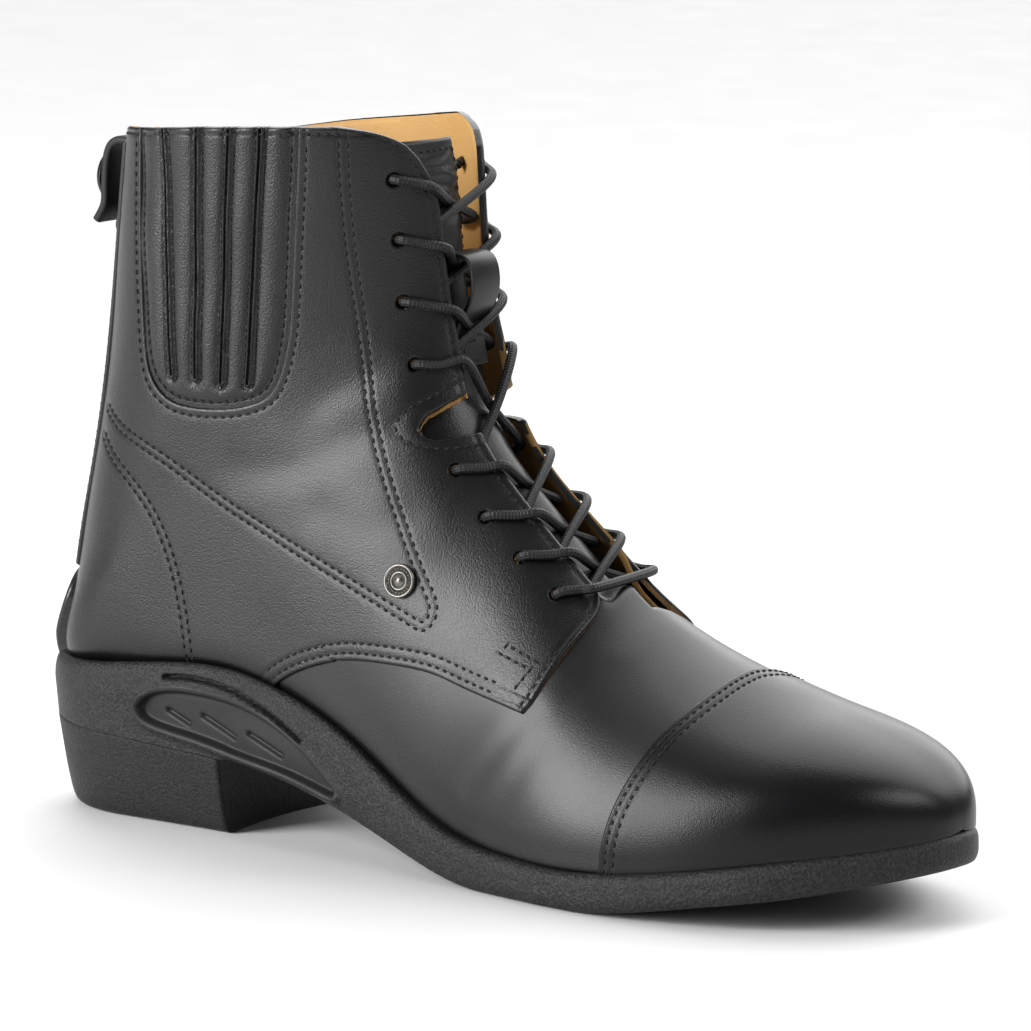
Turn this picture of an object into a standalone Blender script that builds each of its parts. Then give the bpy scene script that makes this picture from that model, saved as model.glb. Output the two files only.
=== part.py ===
"""Lace-up ankle boot for the right foot: rubber outsole, lasted leather upper, back zip and round lace.

Blender units are metres: +X points to the toe, +Y to the inner side of the foot, +Z up.
The origin is on the floor under the centre of the heel. The tables below are in millimetres,
with x counted from the back edge of the outsole.
"""

import math

import bmesh
import bpy
import numpy as np
from mathutils import Vector

MM = 0.001
HEEL_CENTRE = 36.0

# Driving dimensions
SOLE_TOE = 280.0
SOLE_BACK = -3.8
UPPER_LENGTH = 278.5
WALL = 2.4
GAP = 0.3
BED_DEPTH = 3.0
INSOLE_THICKNESS = 3.0
LASTING_MARGIN = 9.0
COLLAR_OVERRUN = 6.0
# The opening under the upper: its ends, and its heights over the foot bed
UNDERSIDE_REACH = (12.0, 270.0)
UNDERSIDE_HEIGHTS = (-8.0, 5.4)
INSOLE_SIDE_ROOM = 8.0
INSOLE_DEPTH = 10.0

# The last, a row for each section from the toe to the collar. Every section lies in a plane across the
# foot, from a point on the bottom or back line to one on the top or front line.
# back_x, back_z, front_x, front_z, outer half width, inner half width,
# belly (share of the way to the front), power of the lower half, power of the upper half
LAST_ROWS = (
    (278.5, 18.9, 278.5, 45.6, 26.0, 23.0, 0.25, 6.0, 2.2),
    (266.0, 17.9, 266.0, 48.4, 33.0, 28.5, 0.22, 6.0, 2.1),
    (249.0, 15.1, 249.0, 51.6, 39.8, 35.2, 0.20, 6.0, 2.0),
    (228.0, 11.5, 228.0, 57.2, 46.2, 40.4, 0.17, 7.0, 1.9),
    (205.0, 8.2, 205.0, 63.2, 48.8, 42.2, 0.15, 8.0, 1.85),
    (182.0, 7.1, 183.0, 72.2, 48.4, 38.6, 0.14, 8.0, 1.8),
    (160.0, 8.4, 166.0, 87.6, 44.4, 34.6, 0.13, 8.0, 1.8),
    (139.0, 13.8, 152.6, 100.6, 39.8, 31.4, 0.14, 8.0, 1.85),
    (118.0, 25.4, 142.4, 110.4, 36.6, 30.0, 0.17, 8.0, 1.95),
    (95.0, 36.0, 135.8, 119.4, 34.6, 30.6, 0.22, 8.0, 2.1),
    (70.0, 42.4, 132.2, 127.8, 33.4, 31.4, 0.27, 8.0, 2.2),
    (45.0, 41.4, 130.6, 135.2, 32.6, 32.0, 0.32, 8.0, 2.3),
    (22.0, 39.0, 129.4, 142.2, 32.4, 32.2, 0.36, 7.0, 2.3),
    (7.5, 39.2, 128.4, 148.4, 32.4, 32.2, 0.38, 5.0, 2.3),
    (3.2, 47.5, 127.6, 153.2, 32.4, 32.2, 0.39, 3.2, 2.3),
    (3.2, 59.0, 126.8, 157.6, 32.6, 32.2, 0.40, 2.5, 2.3),
    (4.9, 73.0, 126.0, 162.8, 33.0, 32.4, 0.41, 2.3, 2.3),
    (8.9, 93.0, 124.9, 169.4, 33.6, 32.8, 0.42, 2.2, 2.3),
    (13.2, 116.0, 123.7, 175.8, 34.4, 33.6, 0.43, 2.2, 2.3),
    (16.3, 139.0, 122.6, 181.4, 35.2, 34.4, 0.44, 2.2, 2.3),
    (18.7, 161.0, 121.6, 186.6, 36.0, 35.2, 0.45, 2.2, 2.3),
    (21.2, 183.5, 120.4, 191.4, 36.8, 36.0, 0.46, 2.2, 2.3),
)
LAST_ROW_COUNT = len(LAST_ROWS)
NOSE_LENGTH = 40.0
NOSE_POWER = 2.2
NOSE_SEAT = 0.2
THROAT_FIRST_ROW = 4.0
HALVINGS = 40

# The outsole, a row for each section from the heel to the toe.
# x, outer half width, inner half width, rim height, underside height
SOLE_ROWS = (
    (-3.8, 34.0, 34.0, 41.2, 25.2),
    (20.0, 34.8, 34.8, 41.8, 23.9),
    (44.0, 35.0, 34.8, 44.3, 22.5),
    (68.0, 35.4, 34.0, 45.7, 21.1),
    (90.0, 36.0, 32.8, 41.3, 17.5),
    (110.0, 37.8, 32.0, 33.0, 12.3),
    (130.0, 41.0, 33.0, 21.5, 6.2),
    (150.0, 45.0, 36.0, 13.0, 1.0),
    (170.0, 48.8, 40.0, 10.6, -0.4),
    (190.0, 51.2, 43.4, 10.0, -0.4),
    (210.0, 51.3, 44.8, 11.8, 1.8),
    (230.0, 48.5, 43.0, 14.9, 5.3),
    (250.0, 42.4, 37.2, 18.3, 8.5),
    (266.0, 35.6, 30.0, 20.9, 11.4),
    (280.0, 29.0, 23.6, 23.2, 14.2),
)
SOLE_TOE_ROUND = 42.0
SOLE_HEEL_ROUND = 34.0
SOLE_ROUND_POWER = 2.2
# The outsole's rounded edge: inset from the widest line, share of the height
SOLE_EDGE = ((3.0, 0.0), (0.9, 0.10), (0.0, 0.34), (0.0, 0.70), (0.7, 0.91), (2.2, 1.0))
SOLE_STATIONS = 34
SOLE_TIP = 0.15
EDGE_FADE = 8.0
SLAB_STATIONS = 24
SLAB_LEAST = 1.0
BREAST_X = 68.0
BREAST_HOLLOW = 3.0
BREAST_SHARES = (-0.75, -0.5, -0.25, 0.0, 0.25, 0.5, 0.75)
PARTING_BACK = 25.0
PARTING_SLOPE = (25.0 - 21.1) / BREAST_X
# The heel block from the floor up: share of its height, inset from the outsole's edge
HEEL_LAYERS = ((0.0, 5.2), (0.08, 4.2), (0.5, 2.6), (1.0, 0.9))
HEEL_SIDES = 13
HEEL_TIP = 0.4

# The front opening: height, width from the middle to the outer edge, and to the inner edge
THROAT_ROWS = (
    (70.0, 0.0, 0.0),
    (71.0, 7.0, 7.0),
    (74.5, 11.0, 11.0),
    (92.0, 12.0, 12.0),
    (110.0, 11.0, 12.2),
    (128.0, 9.4, 13.4),
    (160.0, 8.8, 14.4),
    (180.0, 8.6, 17.0),
    (186.0, 10.0, 19.0),
    (190.0, 14.0, 22.0),
    (193.0, 22.0, 27.0),
)
THROAT_TOP = 210.0
THROAT_REACH = (100.0, 230.0)
# The cut-outs at the ankle: depth on the outer and the inner side, then height and share of the depth
NOTCH_DEPTHS = (20.5, 24.0)
NOTCH_ROWS = ((111.0, 0.40), (110.4, 0.80), (112.6, 1.0), (116.2, 1.0), (118.4, 0.85), (121.6, 0.30))
# Lace holes from the collar down: height, distance from the middle on the outer and the inner side
HOLE_ROWS = (
    (177.6, 20.0, 26.6),
    (162.0, 19.2, 24.6),
    (145.8, 18.8, 23.8),
    (129.8, 19.0, 23.4),
    (103.6, 19.6, 21.6),
    (92.4, 20.4, 21.6),
    (83.2, 21.0, 21.4),
    (74.8, 21.2, 21.2),
)
HOLE_RADIUS = 1.9
HOLE_DEPTH = 8.0
HOLE_SIDES = 8
LACE_RADIUS = 1.4
LACE_CLEAR = LACE_RADIUS + 0.4
# How far short of its hole each lace solid stops
LACE_SHORT = 4.0
LACE_POINTS = 9
CORD_WELD = 1e-6
# How sharply a lace dips from over one facing to under the other, and the share of its dip it reaches
LACE_DIP = 4.0
LACE_DIP_SHARE = 1.05

# The tongue: row of the last, half angle in degrees, drop under the facings
TONGUE_ROWS = ((4.75, 30.0, 0.0), (5.4, 40.0, 2.6), (6.2, 50.0, 5.2), (7.5, 58.0, 5.6), (9.0, 60.0, 5.6),
               (11.5, 60.0, 5.2), (14.5, 60.0, 5.2), (17.5, 60.0, 5.2), (20.2, 58.0, 5.2))
TONGUE_THICKNESS = 2.4
TONGUE_CLEAR = 0.5
TONGUE_COLUMNS = 11
TONGUE_STATIONS = 17
TONGUE_EDGE_POWER = 4

# The lace keeper's strap, from its sewn end up: height, lift from the front line
KEEPER_ROWS = ((128.5, -7.2), (135.5, -7.2), (144.0, -6.4), (148.2, 2.4), (150.8, 4.4), (156.6, 4.4),
               (159.8, 1.8), (163.2, -7.0))
KEEPER_HALF_WIDTH = 6.0
KEEPER_THICKNESS = 1.3

# The stud on the outer quarter
STUD_X = 126.6
STUD_HEIGHT = 75.2
STUD_RADIUS = 4.5
STUD_RIM = 3.9
DISC_SIDES = 24
STUD_THICKNESS = 2.0

# How far a block through the back of the boot reaches along x
BACK_REACH = (-20.0, 40.0)

# The spur rest, half of its outline seen from the back: distance from the middle, height
SPUR_OUTLINE = ((20.0, 42.2), (20.0, 55.0), (17.0, 59.5), (10.0, 62.6), (0.0, 63.6))
SPUR_PROUD = ((46.0, 4.2), (63.0, 1.2))

# The back zip, and the tab that covers its slider: x and height of the tab's middle line
ZIP_HALF_WIDTH = 9.0
ZIP_LOW = 64.2
ZIP_HIGH = 181.2
ZIP_PROUD = 1.4
TAB_ROWS = ((17.6, 182.0), (14.4, 182.0), (11.8, 179.6), (10.8, 175.0), (10.7, 168.0), (10.1, 163.5),
            (7.8, 159.0))
TAB_HALF_WIDTH = 7.5
TAB_THICKNESS = 2.4
SNAP_BACK = 8.6
SNAP_HEIGHT = 170.2
SNAP_RADIUS = 6.4
SNAP_RIM = 5.1
SNAP_THICKNESS = 2.6
SLIDER_LOW, SLIDER_HIGH = 167.0, 177.0
SLIDER_BACK, SLIDER_FRONT = 15.2, 17.6
SLIDER_HALF_WIDTH = 4.2
BAIL_BACK = 12.9
BAIL_BAR = 0.8
BAIL_POST = 1.2
BAIL_SINK = 1.0
BAIL_HALF_WIDTH = 1.0
BAIL_LOW, BAIL_HIGH = 167.8, 176.4
PULL_X, PULL_Z = 14.45, 169.9
PULL_PIN_RADIUS = 0.45
PULL_ARM_INNER, PULL_ARM_OUTER = 1.4, 3.0
PULL_ARM_LENGTH = 3.4
PULL_LENGTH = 17.6
PULL_HALF_WIDTH = 3.6
PULL_THICKNESS = 1.2
PULL_LEAN = 17.0
PULL_PIN_OVERLAP = 0.6
PULL_PIN_SIDES = 10
PULL_TIP_POINTS = 6

root = bpy.data.collections.new("lace_up_ankle_boot")
cutters = bpy.data.collections.new("cutters")


def clear_scene():
    for obj in list(bpy.data.objects):
        bpy.data.objects.remove(obj, do_unlink=True)
    bpy.context.scene.collection.children.link(root)
    bpy.context.scene.collection.children.link(cutters)


def smooth_table(rows):
    """A smooth curve through a table's rows, read by row number."""
    values = np.array(rows, float)
    count = len(values)
    system = np.eye(count)
    pull = np.zeros_like(values)
    for i in range(1, count - 1):
        system[i, i - 1:i + 2] = 1, 4, 1
        pull[i] = 6 * (values[i - 1] - 2 * values[i] + values[i + 1])
    bend = np.linalg.solve(system, pull)

    def at(row):
        i = min(max(int(row), 0), count - 2)
        after = row - i
        before = 1 - after
        straight = before * values[i] + after * values[i + 1]
        return straight + ((before**3 - before) * bend[i] + (after**3 - after) * bend[i + 1]) / 6

    return at


last_row = smooth_table(LAST_ROWS)
sole_row = smooth_table(SOLE_ROWS)


def rounded(depth, power):
    """The share of the full width at this share of a rounded end's length."""
    depth = min(max(depth, 0.0), 1.0)
    return (1 - (1 - depth) ** power) ** (1 / power)


def shrunk(half, inset):
    """A half width less its inset, which never falls below nothing."""
    return half * half / (half + inset)


def last_point(row, angle, inset=0.0):
    """A point on the outside of the last, or as far inside it as the inset. Angle 0 is the front or
    top line, pi the back or bottom line, and a plus angle the inner side of the foot."""
    back_x, back_z, front_x, front_z, outer, inner, belly, low, high = last_row(row)
    depth = min(max((UPPER_LENGTH - back_x) / NOSE_LENGTH, 0.0), 1.0)
    nose = rounded(depth, NOSE_POWER)
    ahead = math.cos(angle)
    if ahead > 0:
        share = belly + (1 - belly) * ahead ** (2 / high)
        power = high
    else:
        share = belly * (1 - (-ahead) ** (2 / low))
        power = low
    half_chord = nose * math.hypot(front_x - back_x, front_z - back_z) / 2
    middle = NOSE_SEAT * (1 - nose) + nose / 2
    share = middle + (share - 0.5) * nose * shrunk(half_chord, inset) / half_chord
    half = shrunk(nose * (inner if angle > 0 else outer), inset)
    across = half * abs(math.sin(angle)) ** (2 / power)
    return np.array((
        back_x + (front_x - back_x) * share - inset * (1 - depth) ** 2,
        math.copysign(across, angle),
        back_z + (front_z - back_z) * share,
    ))


def last_normal(row, angle, step=0.02):
    along = last_point(row + step, angle) - last_point(row - step, angle)
    around = last_point(row, angle + step) - last_point(row, angle - step)
    normal = np.cross(around, along)
    return normal / np.linalg.norm(normal)


def front_place(y, height):
    """The row and angle where the front of the last has this y and height."""
    low, high = THROAT_FIRST_ROW, LAST_ROW_COUNT - 1.0
    for _ in range(HALVINGS):
        row = (low + high) / 2
        outer, inner, _, _, power = last_row(row)[4:]
        angle = math.asin(min(abs(y) / (inner if y > 0 else outer), 1.0) ** (power / 2))
        angle = math.copysign(angle, y)
        if last_point(row, angle)[2] < height:
            low = row
        else:
            high = row
    return row, angle


def front_point(y, height, lift):
    row, angle = front_place(y, height)
    return last_point(row, angle) + lift * last_normal(row, angle)


def place(point):
    return Vector(((point[0] - HEEL_CENTRE) * MM, point[1] * MM, point[2] * MM))


def solid(name, work, home):
    """The built mesh as an object, its faces turned outward."""
    bmesh.ops.recalc_face_normals(work, faces=work.faces)
    mesh = bpy.data.meshes.new(name)
    work.to_mesh(mesh)
    work.free()
    obj = bpy.data.objects.new(name, mesh)
    home.objects.link(obj)
    if home is cutters:
        obj.hide_render = True
        obj.display_type = "WIRE"
    return obj


def loft(name, rings, home):
    """A closed solid through rings of equal count, with both ends capped."""
    work = bmesh.new()
    loops = [[work.verts.new(place(point)) for point in ring] for ring in rings]
    work.faces.new(loops[0])
    work.faces.new(loops[-1])
    for near, far in zip(loops, loops[1:]):
        for k in range(len(near)):
            work.faces.new((near[k - 1], near[k], far[k], far[k - 1]))
    return solid(name, work, home)


def add_round(work, centre, axis, radius, far_radius, length, sides):
    """A round bar or cone about centre along axis."""
    turn = Vector(axis).to_track_quat("Z", "Y").to_matrix().to_4x4()
    turn.translation = place(centre)
    bmesh.ops.create_cone(work, cap_ends=True, segments=sides, radius1=radius * MM,
                          radius2=far_radius * MM, depth=length * MM, matrix=turn)


def cut(obj, other, operation="DIFFERENCE"):
    modifier = obj.modifiers.new(f"{operation.lower()}_{other.name}", "BOOLEAN")
    modifier.operation = operation
    modifier.solver = "EXACT"
    modifier.object = other
    return obj


def finish(obj, colour, roughness, metallic=0.0):
    material = bpy.data.materials.new(obj.name)
    material.use_nodes = True
    shader = material.node_tree.nodes["Principled BSDF"]
    shader.inputs["Base Color"].default_value = (*colour, 1.0)
    shader.inputs["Roughness"].default_value = roughness
    shader.inputs["Metallic"].default_value = metallic
    obj.data.materials.append(material)
    return obj


BLACK_LEATHER = (0.012, 0.012, 0.013)
BLACK_RUBBER = (0.010, 0.010, 0.010)
TAN_LEATHER = (0.55, 0.36, 0.22)
DARK_METAL = (0.03, 0.03, 0.03)
NICKEL = (0.55, 0.54, 0.52)

AROUND = 30
TOE_STATIONS = 7
BODY_STATIONS = 26
TOE_ROW_SPAN = 2.0
TOE_FIRST = 0.4
TOE_CROWDING = 1.8
STATIONS = [TOE_ROW_SPAN * ((j + TOE_FIRST) / TOE_STATIONS) ** TOE_CROWDING for j in range(TOE_STATIONS)]
STATIONS += list(np.linspace(TOE_ROW_SPAN, LAST_ROW_COUNT - 1, BODY_STATIONS))
ANGLES = [-math.pi + 2 * math.pi * k / AROUND for k in range(AROUND)]


def last_form(name, grow, home, overrun=0.0):
    """The whole last as a closed solid, inset, or grown by a distance or by a function of the place."""
    inset = 0.0 if callable(grow) else max(-grow, 0.0)
    grid = np.array([[last_point(row, angle, inset) for angle in ANGLES] for row in STATIONS])
    along = np.gradient(grid, axis=0)
    around = np.roll(grid, -1, axis=1) - np.roll(grid, 1, axis=1)
    normals = np.cross(around, along)
    normals /= np.linalg.norm(normals, axis=2, keepdims=True)
    amount = grow(grid) if callable(grow) else np.full(grid.shape[:2], max(grow, 0.0))
    rings = list(grid + normals * amount[..., None])
    if overrun:
        back_x, back_z, front_x, front_z = last_row(LAST_ROW_COUNT - 1)[:4]
        lean = np.array((back_z - front_z, 0.0, front_x - back_x))
        rings.append(rings[-1] + overrun * lean / np.linalg.norm(lean))
    return loft(name, rings, home)


def sole_at(x):
    """Half widths, rim and underside of the outsole at x, with both ends rounded."""
    low, high = 0.0, len(SOLE_ROWS) - 1.0
    for _ in range(HALVINGS):
        row = (low + high) / 2
        if sole_row(row)[0] < x:
            low = row
        else:
            high = row
    _, outer, inner, rim, under = sole_row(row)
    share = rounded((SOLE_TOE - x) / SOLE_TOE_ROUND, SOLE_ROUND_POWER)
    share *= rounded((x - SOLE_BACK) / SOLE_HEEL_ROUND, SOLE_ROUND_POWER)
    if x <= BREAST_X:
        under = PARTING_BACK - PARTING_SLOPE * x
    return outer * share, inner * share, rim, max(under, 0.0)


def sole_stations(start, end, count):
    """Stations crowded towards both ends."""
    return [start + (end - start) * (1 - math.cos(math.pi * k / (count - 1))) / 2 for k in range(count)]


def slab(name, start, end, inset, low, high, home):
    """A block with the outsole's outline, inset, between two heights above the foot bed."""
    rings = []
    for x in sole_stations(start, end, SLAB_STATIONS):
        outer, inner, rim, _ = sole_at(x)
        outer = max(outer - inset, SLAB_LEAST)
        inner = max(inner - inset, SLAB_LEAST)
        bed = rim - BED_DEPTH
        rings.append([
            (x, -outer, bed + low),
            (x, inner, bed + low),
            (x, inner, bed + high),
            (x, -outer, bed + high),
        ])
    return loft(name, rings, home)


def make_outsole():
    rings = []
    for x in sole_stations(SOLE_BACK + SOLE_TIP, SOLE_TOE - SOLE_TIP, SOLE_STATIONS):
        outer, inner, rim, under = sole_at(x)
        ring = []
        for inset, share in SOLE_EDGE:
            kept = outer - inset * min(1.0, outer / EDGE_FADE)
            ring.append((x, -kept, under + (rim - under) * share))
        for inset, share in reversed(SOLE_EDGE):
            kept = inner - inset * min(1.0, inner / EDGE_FADE)
            ring.append((x, kept, under + (rim - under) * share))
        rings.append(ring)
    outsole = loft("outsole", rings, root)
    cut(outsole, last_form("foot_bed", GAP, cutters))
    finish(outsole, BLACK_RUBBER, 0.55)


def make_heel_block():
    length = BREAST_X - SOLE_BACK - HEEL_TIP
    spread = [BREAST_X - length * math.sin(math.pi / 2 * k / HEEL_SIDES) for k in range(HEEL_SIDES + 1)]
    edge = [(x, -sole_at(x)[0]) for x in spread]
    edge += [(x, sole_at(x)[1]) for x in reversed(spread)]
    outline = np.array(edge)
    ahead = np.roll(outline, -1, axis=0) - np.roll(outline, 1, axis=0)
    inward = np.stack((-ahead[:, 1], ahead[:, 0]), axis=1)
    inward /= np.linalg.norm(inward, axis=1, keepdims=True)
    inward[[0, -1]] = ((0.0, 1.0), (0.0, -1.0))
    if np.dot(inward[HEEL_SIDES], outline.mean(axis=0) - outline[HEEL_SIDES]) < 0:
        inward[1:-1] *= -1
    rings = []
    for share, inset in HEEL_LAYERS:
        flat = outline + inward * inset
        half = flat[-1, 1]
        breast = [(BREAST_X - BREAST_HOLLOW * (1 - s * s), -half * s) for s in BREAST_SHARES]
        ring = []
        for x, y in list(flat) + breast:
            top = PARTING_BACK - PARTING_SLOPE * x - GAP
            ring.append((x, y, top * share))
        rings.append(ring)
    finish(loft("heel_block", rings, root), BLACK_RUBBER, 0.6)


def throat_edge(column, notch_depth):
    """One edge of the front opening with its ankle cut-out, as (distance from the middle, height) points."""
    points = []
    heights = [row[0] for row in THROAT_ROWS]
    widths = [row[column] for row in THROAT_ROWS]
    notch_low = min(height for height, _ in NOTCH_ROWS)
    notch_high = max(height for height, _ in NOTCH_ROWS)
    for height, width in zip(heights, widths):
        if height > notch_low and not any(z > notch_low for _, z in points):
            for z, share in NOTCH_ROWS:
                start = np.interp(z, heights, widths)
                points.append((start + (notch_depth - start) * share, z))
        if not notch_low <= height <= notch_high:
            points.append((width, height))
    return points + [(widths[-1], THROAT_TOP)]


def make_throat_cutter():
    outer_depth, inner_depth = NOTCH_DEPTHS
    inner = throat_edge(2, inner_depth)
    outer = throat_edge(1, outer_depth)
    outline = inner + [(-y, z) for y, z in reversed(outer) if y > 0]
    rings = [[(x, y, z) for y, z in outline] for x in THROAT_REACH]
    return loft("throat", rings, cutters)


def make_hole_cutter():
    work = bmesh.new()
    for height, outer, inner in HOLE_ROWS:
        for side in (-outer, inner):
            spot = front_place(side, height)
            centre, axis = last_point(*spot), last_normal(*spot)
            add_round(work, centre, axis, HOLE_RADIUS, HOLE_RADIUS, HOLE_DEPTH, HOLE_SIDES)
    return solid("lace_holes", work, cutters)


def make_upper():
    upper = last_form("upper", 0.0, root)
    cut(upper, last_form("upper_inside", -WALL, cutters, COLLAR_OVERRUN))
    start, end = UNDERSIDE_REACH
    low, high = UNDERSIDE_HEIGHTS
    cut(upper, slab("upper_underside", start, end, LASTING_MARGIN + WALL, low, high, cutters))
    cut(upper, make_throat_cutter())
    cut(upper, make_hole_cutter())
    finish(upper, BLACK_LEATHER, 0.4)


def make_insole():
    insole = last_form("insole", -(WALL + GAP), root)
    top = WALL + GAP + INSOLE_THICKNESS
    ends = SOLE_BACK + SOLE_TIP, SOLE_TOE - SOLE_TIP
    cut(insole, slab("insole_slab", *ends, -INSOLE_SIDE_ROOM, -INSOLE_DEPTH, top, cutters), "INTERSECT")
    finish(insole, TAN_LEATHER, 0.7)


def make_tongue():
    table = smooth_table(TONGUE_ROWS)
    columns = np.linspace(-1, 1, TONGUE_COLUMNS)
    rings = []
    for step in np.linspace(0, len(TONGUE_ROWS) - 1, TONGUE_STATIONS):
        row, half_angle, drop = table(step)
        top, under = [], []
        for q in columns:
            angle = q * math.radians(half_angle)
            point = last_point(row, angle)
            normal = last_normal(row, angle)
            depth = WALL + TONGUE_CLEAR + max(drop, 0.0) * (1 - q**TONGUE_EDGE_POWER)
            top.append(point - depth * normal)
            under.append(point - (depth + TONGUE_THICKNESS) * normal)
        rings.append(top + under[::-1])
    finish(loft("tongue", rings, root), BLACK_LEATHER, 0.45)


def cord(name, points, home):
    """A round cord along points, as a mesh."""
    curve = bpy.data.curves.new(name, "CURVE")
    curve.dimensions = "3D"
    curve.bevel_depth = LACE_RADIUS * MM
    curve.bevel_resolution = 2
    curve.use_fill_caps = True
    spline = curve.splines.new("POLY")
    spline.points.add(len(points) - 1)
    for target, point in zip(spline.points, points):
        target.co = (*place(point), 1.0)
    source = bpy.data.objects.new(name, curve)
    bpy.context.scene.collection.objects.link(source)
    bpy.context.view_layer.update()
    graph = bpy.context.evaluated_depsgraph_get()
    mesh = bpy.data.meshes.new_from_object(source.evaluated_get(graph))
    bpy.data.objects.remove(source, do_unlink=True)
    work = bmesh.new()
    work.from_mesh(mesh)
    bmesh.ops.remove_doubles(work, verts=work.verts, dist=CORD_WELD)
    return solid(name, work, home)


def hole_spot(hole, side):
    """Where a lace solid stops beside a hole on the outer (-1) or the inner (1) side: y, height."""
    height, outer, inner = hole
    return side * ((inner if side > 0 else outer) - LACE_SHORT), height


def lace_run(upper_hole, lower_hole, side):
    """From outside the upper hole on one side, over its facing, to under the lower hole opposite."""
    start_y, start_height = hole_spot(upper_hole, side)
    end_y, end_height = hole_spot(lower_hole, -side)
    points = []
    for share in np.linspace(0, 1, LACE_POINTS):
        y = start_y + (end_y - start_y) * share
        height = start_height + (end_height - start_height) * share
        over = 0.5 - 0.5 * math.tanh(LACE_DIP * (share - 0.5)) / math.tanh(LACE_DIP_SHARE)
        over = min(max(over, 0.0), 1.0)
        lift = LACE_CLEAR * over - (WALL + LACE_CLEAR) * (1 - over)
        points.append(front_point(y, height, lift))
    return points


def make_laces():
    outer_end, height = hole_spot(HOLE_ROWS[-1], -1)
    inner_end, height = hole_spot(HOLE_ROWS[-1], 1)
    bar = [front_point(y, height, LACE_CLEAR) for y in np.linspace(outer_end, inner_end, LACE_POINTS)]
    finish(cord("lace_bar", bar, root), BLACK_LEATHER, 0.6)
    for k, (upper_hole, lower_hole) in enumerate(zip(HOLE_ROWS, HOLE_ROWS[1:])):
        first = cord(f"lace_cross_{k + 1}", lace_run(upper_hole, lower_hole, -1), root)
        second = cord(f"lace_under_{k + 1}", lace_run(upper_hole, lower_hole, 1), cutters)
        cut(first, second, "UNION")
        finish(first, BLACK_LEATHER, 0.6)


def ribbon(name, path, half_width, thickness, home):
    """A strap across the foot along a path of (x, z) points in the middle plane."""
    path = np.array(path)
    ahead = np.gradient(path, axis=0)
    ahead /= np.linalg.norm(ahead, axis=1, keepdims=True)
    rings = []
    for (x, z), (dx, dz) in zip(path, ahead):
        out = thickness / 2
        rings.append([
            (x - dz * side * out, across, z + dx * side * out)
            for side, across in ((1, -half_width), (1, half_width), (-1, half_width), (-1, -half_width))
        ])
    return loft(name, rings, home)


def make_lace_keeper():
    path = [front_point(0.0, height, lift)[[0, 2]] for height, lift in KEEPER_ROWS]
    finish(ribbon("lace_keeper", path, KEEPER_HALF_WIDTH, KEEPER_THICKNESS, root), BLACK_LEATHER, 0.45)


def outer_place(x, height):
    """The row and angle where the outer side of the last has this x and height."""
    low, high = 0.0, LAST_ROW_COUNT - 1.0
    angle = -math.pi / 2
    for _ in range(HALVINGS):
        row = (low + high) / 2
        back_x, back_z, front_x, front_z = last_row(row)[:4]
        across = (x - back_x) * (front_z - back_z) - (height - back_z) * (front_x - back_x)
        if across > 0:
            high = row
        else:
            low = row
    front, back = 0.0, -math.pi
    for _ in range(HALVINGS):
        angle = (front + back) / 2
        if last_point(row, angle)[0] > x:
            front = angle
        else:
            back = angle
    return row, angle


def disc(name, centre, normal, radius, rim_radius, thickness):
    """A round cap standing on centre along normal, with its outer face drawn in to rim_radius."""
    work = bmesh.new()
    middle = np.array(centre) + np.array(normal) * thickness / 2
    add_round(work, middle, normal, radius, rim_radius, thickness, DISC_SIDES)
    return solid(name, work, root)


def make_stud():
    row, angle = outer_place(STUD_X, STUD_HEIGHT)
    normal = last_normal(row, angle)
    seat = last_point(row, angle) + normal * GAP
    stud = disc("stud", seat, normal, STUD_RADIUS, STUD_RIM, STUD_THICKNESS)
    finish(stud, NICKEL, 0.35, 1.0)


def back_prism(name, outline):
    """A block through the back of the boot with this half outline of (y, height) points, mirrored."""
    whole = [*outline, *((-y, z) for y, z in reversed(outline) if y > 0)]
    return loft(name, [[(x, y, z) for y, z in whole] for x in BACK_REACH], cutters)


def make_spur_rest():
    heights, proud = zip(*SPUR_PROUD)
    spur_rest = last_form("spur_rest", lambda grid: np.interp(grid[..., 2], heights, proud), root)
    cut(spur_rest, back_prism("spur_outline", SPUR_OUTLINE), "INTERSECT")
    cut(spur_rest, bpy.data.objects["foot_bed"])
    finish(spur_rest, BLACK_RUBBER, 0.35)


def make_back_zip():
    back_zip = last_form("back_zip", ZIP_PROUD, root)
    outline = ((ZIP_HALF_WIDTH, ZIP_LOW), (ZIP_HALF_WIDTH, ZIP_HIGH), (0.0, ZIP_HIGH))
    cut(back_zip, back_prism("zip_outline", outline), "INTERSECT")
    cut(back_zip, bpy.data.objects["foot_bed"])
    finish(back_zip, BLACK_LEATHER, 0.45)


def make_zip_tab():
    finish(ribbon("zip_tab", TAB_ROWS, TAB_HALF_WIDTH, TAB_THICKNESS, root), BLACK_LEATHER, 0.45)
    centre = (SNAP_BACK, 0.0, SNAP_HEIGHT)
    snap = disc("tab_snap", centre, (-1.0, 0.0, 0.0), SNAP_RADIUS, SNAP_RIM, SNAP_THICKNESS)
    finish(snap, DARK_METAL, 0.3, 0.6)


def box(name, low, high, home):
    rings = [[(x, low[1], low[2]), (x, high[1], low[2]), (x, high[1], high[2]), (x, low[1], high[2])]
             for x in (low[0], high[0])]
    return loft(name, rings, home)


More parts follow.
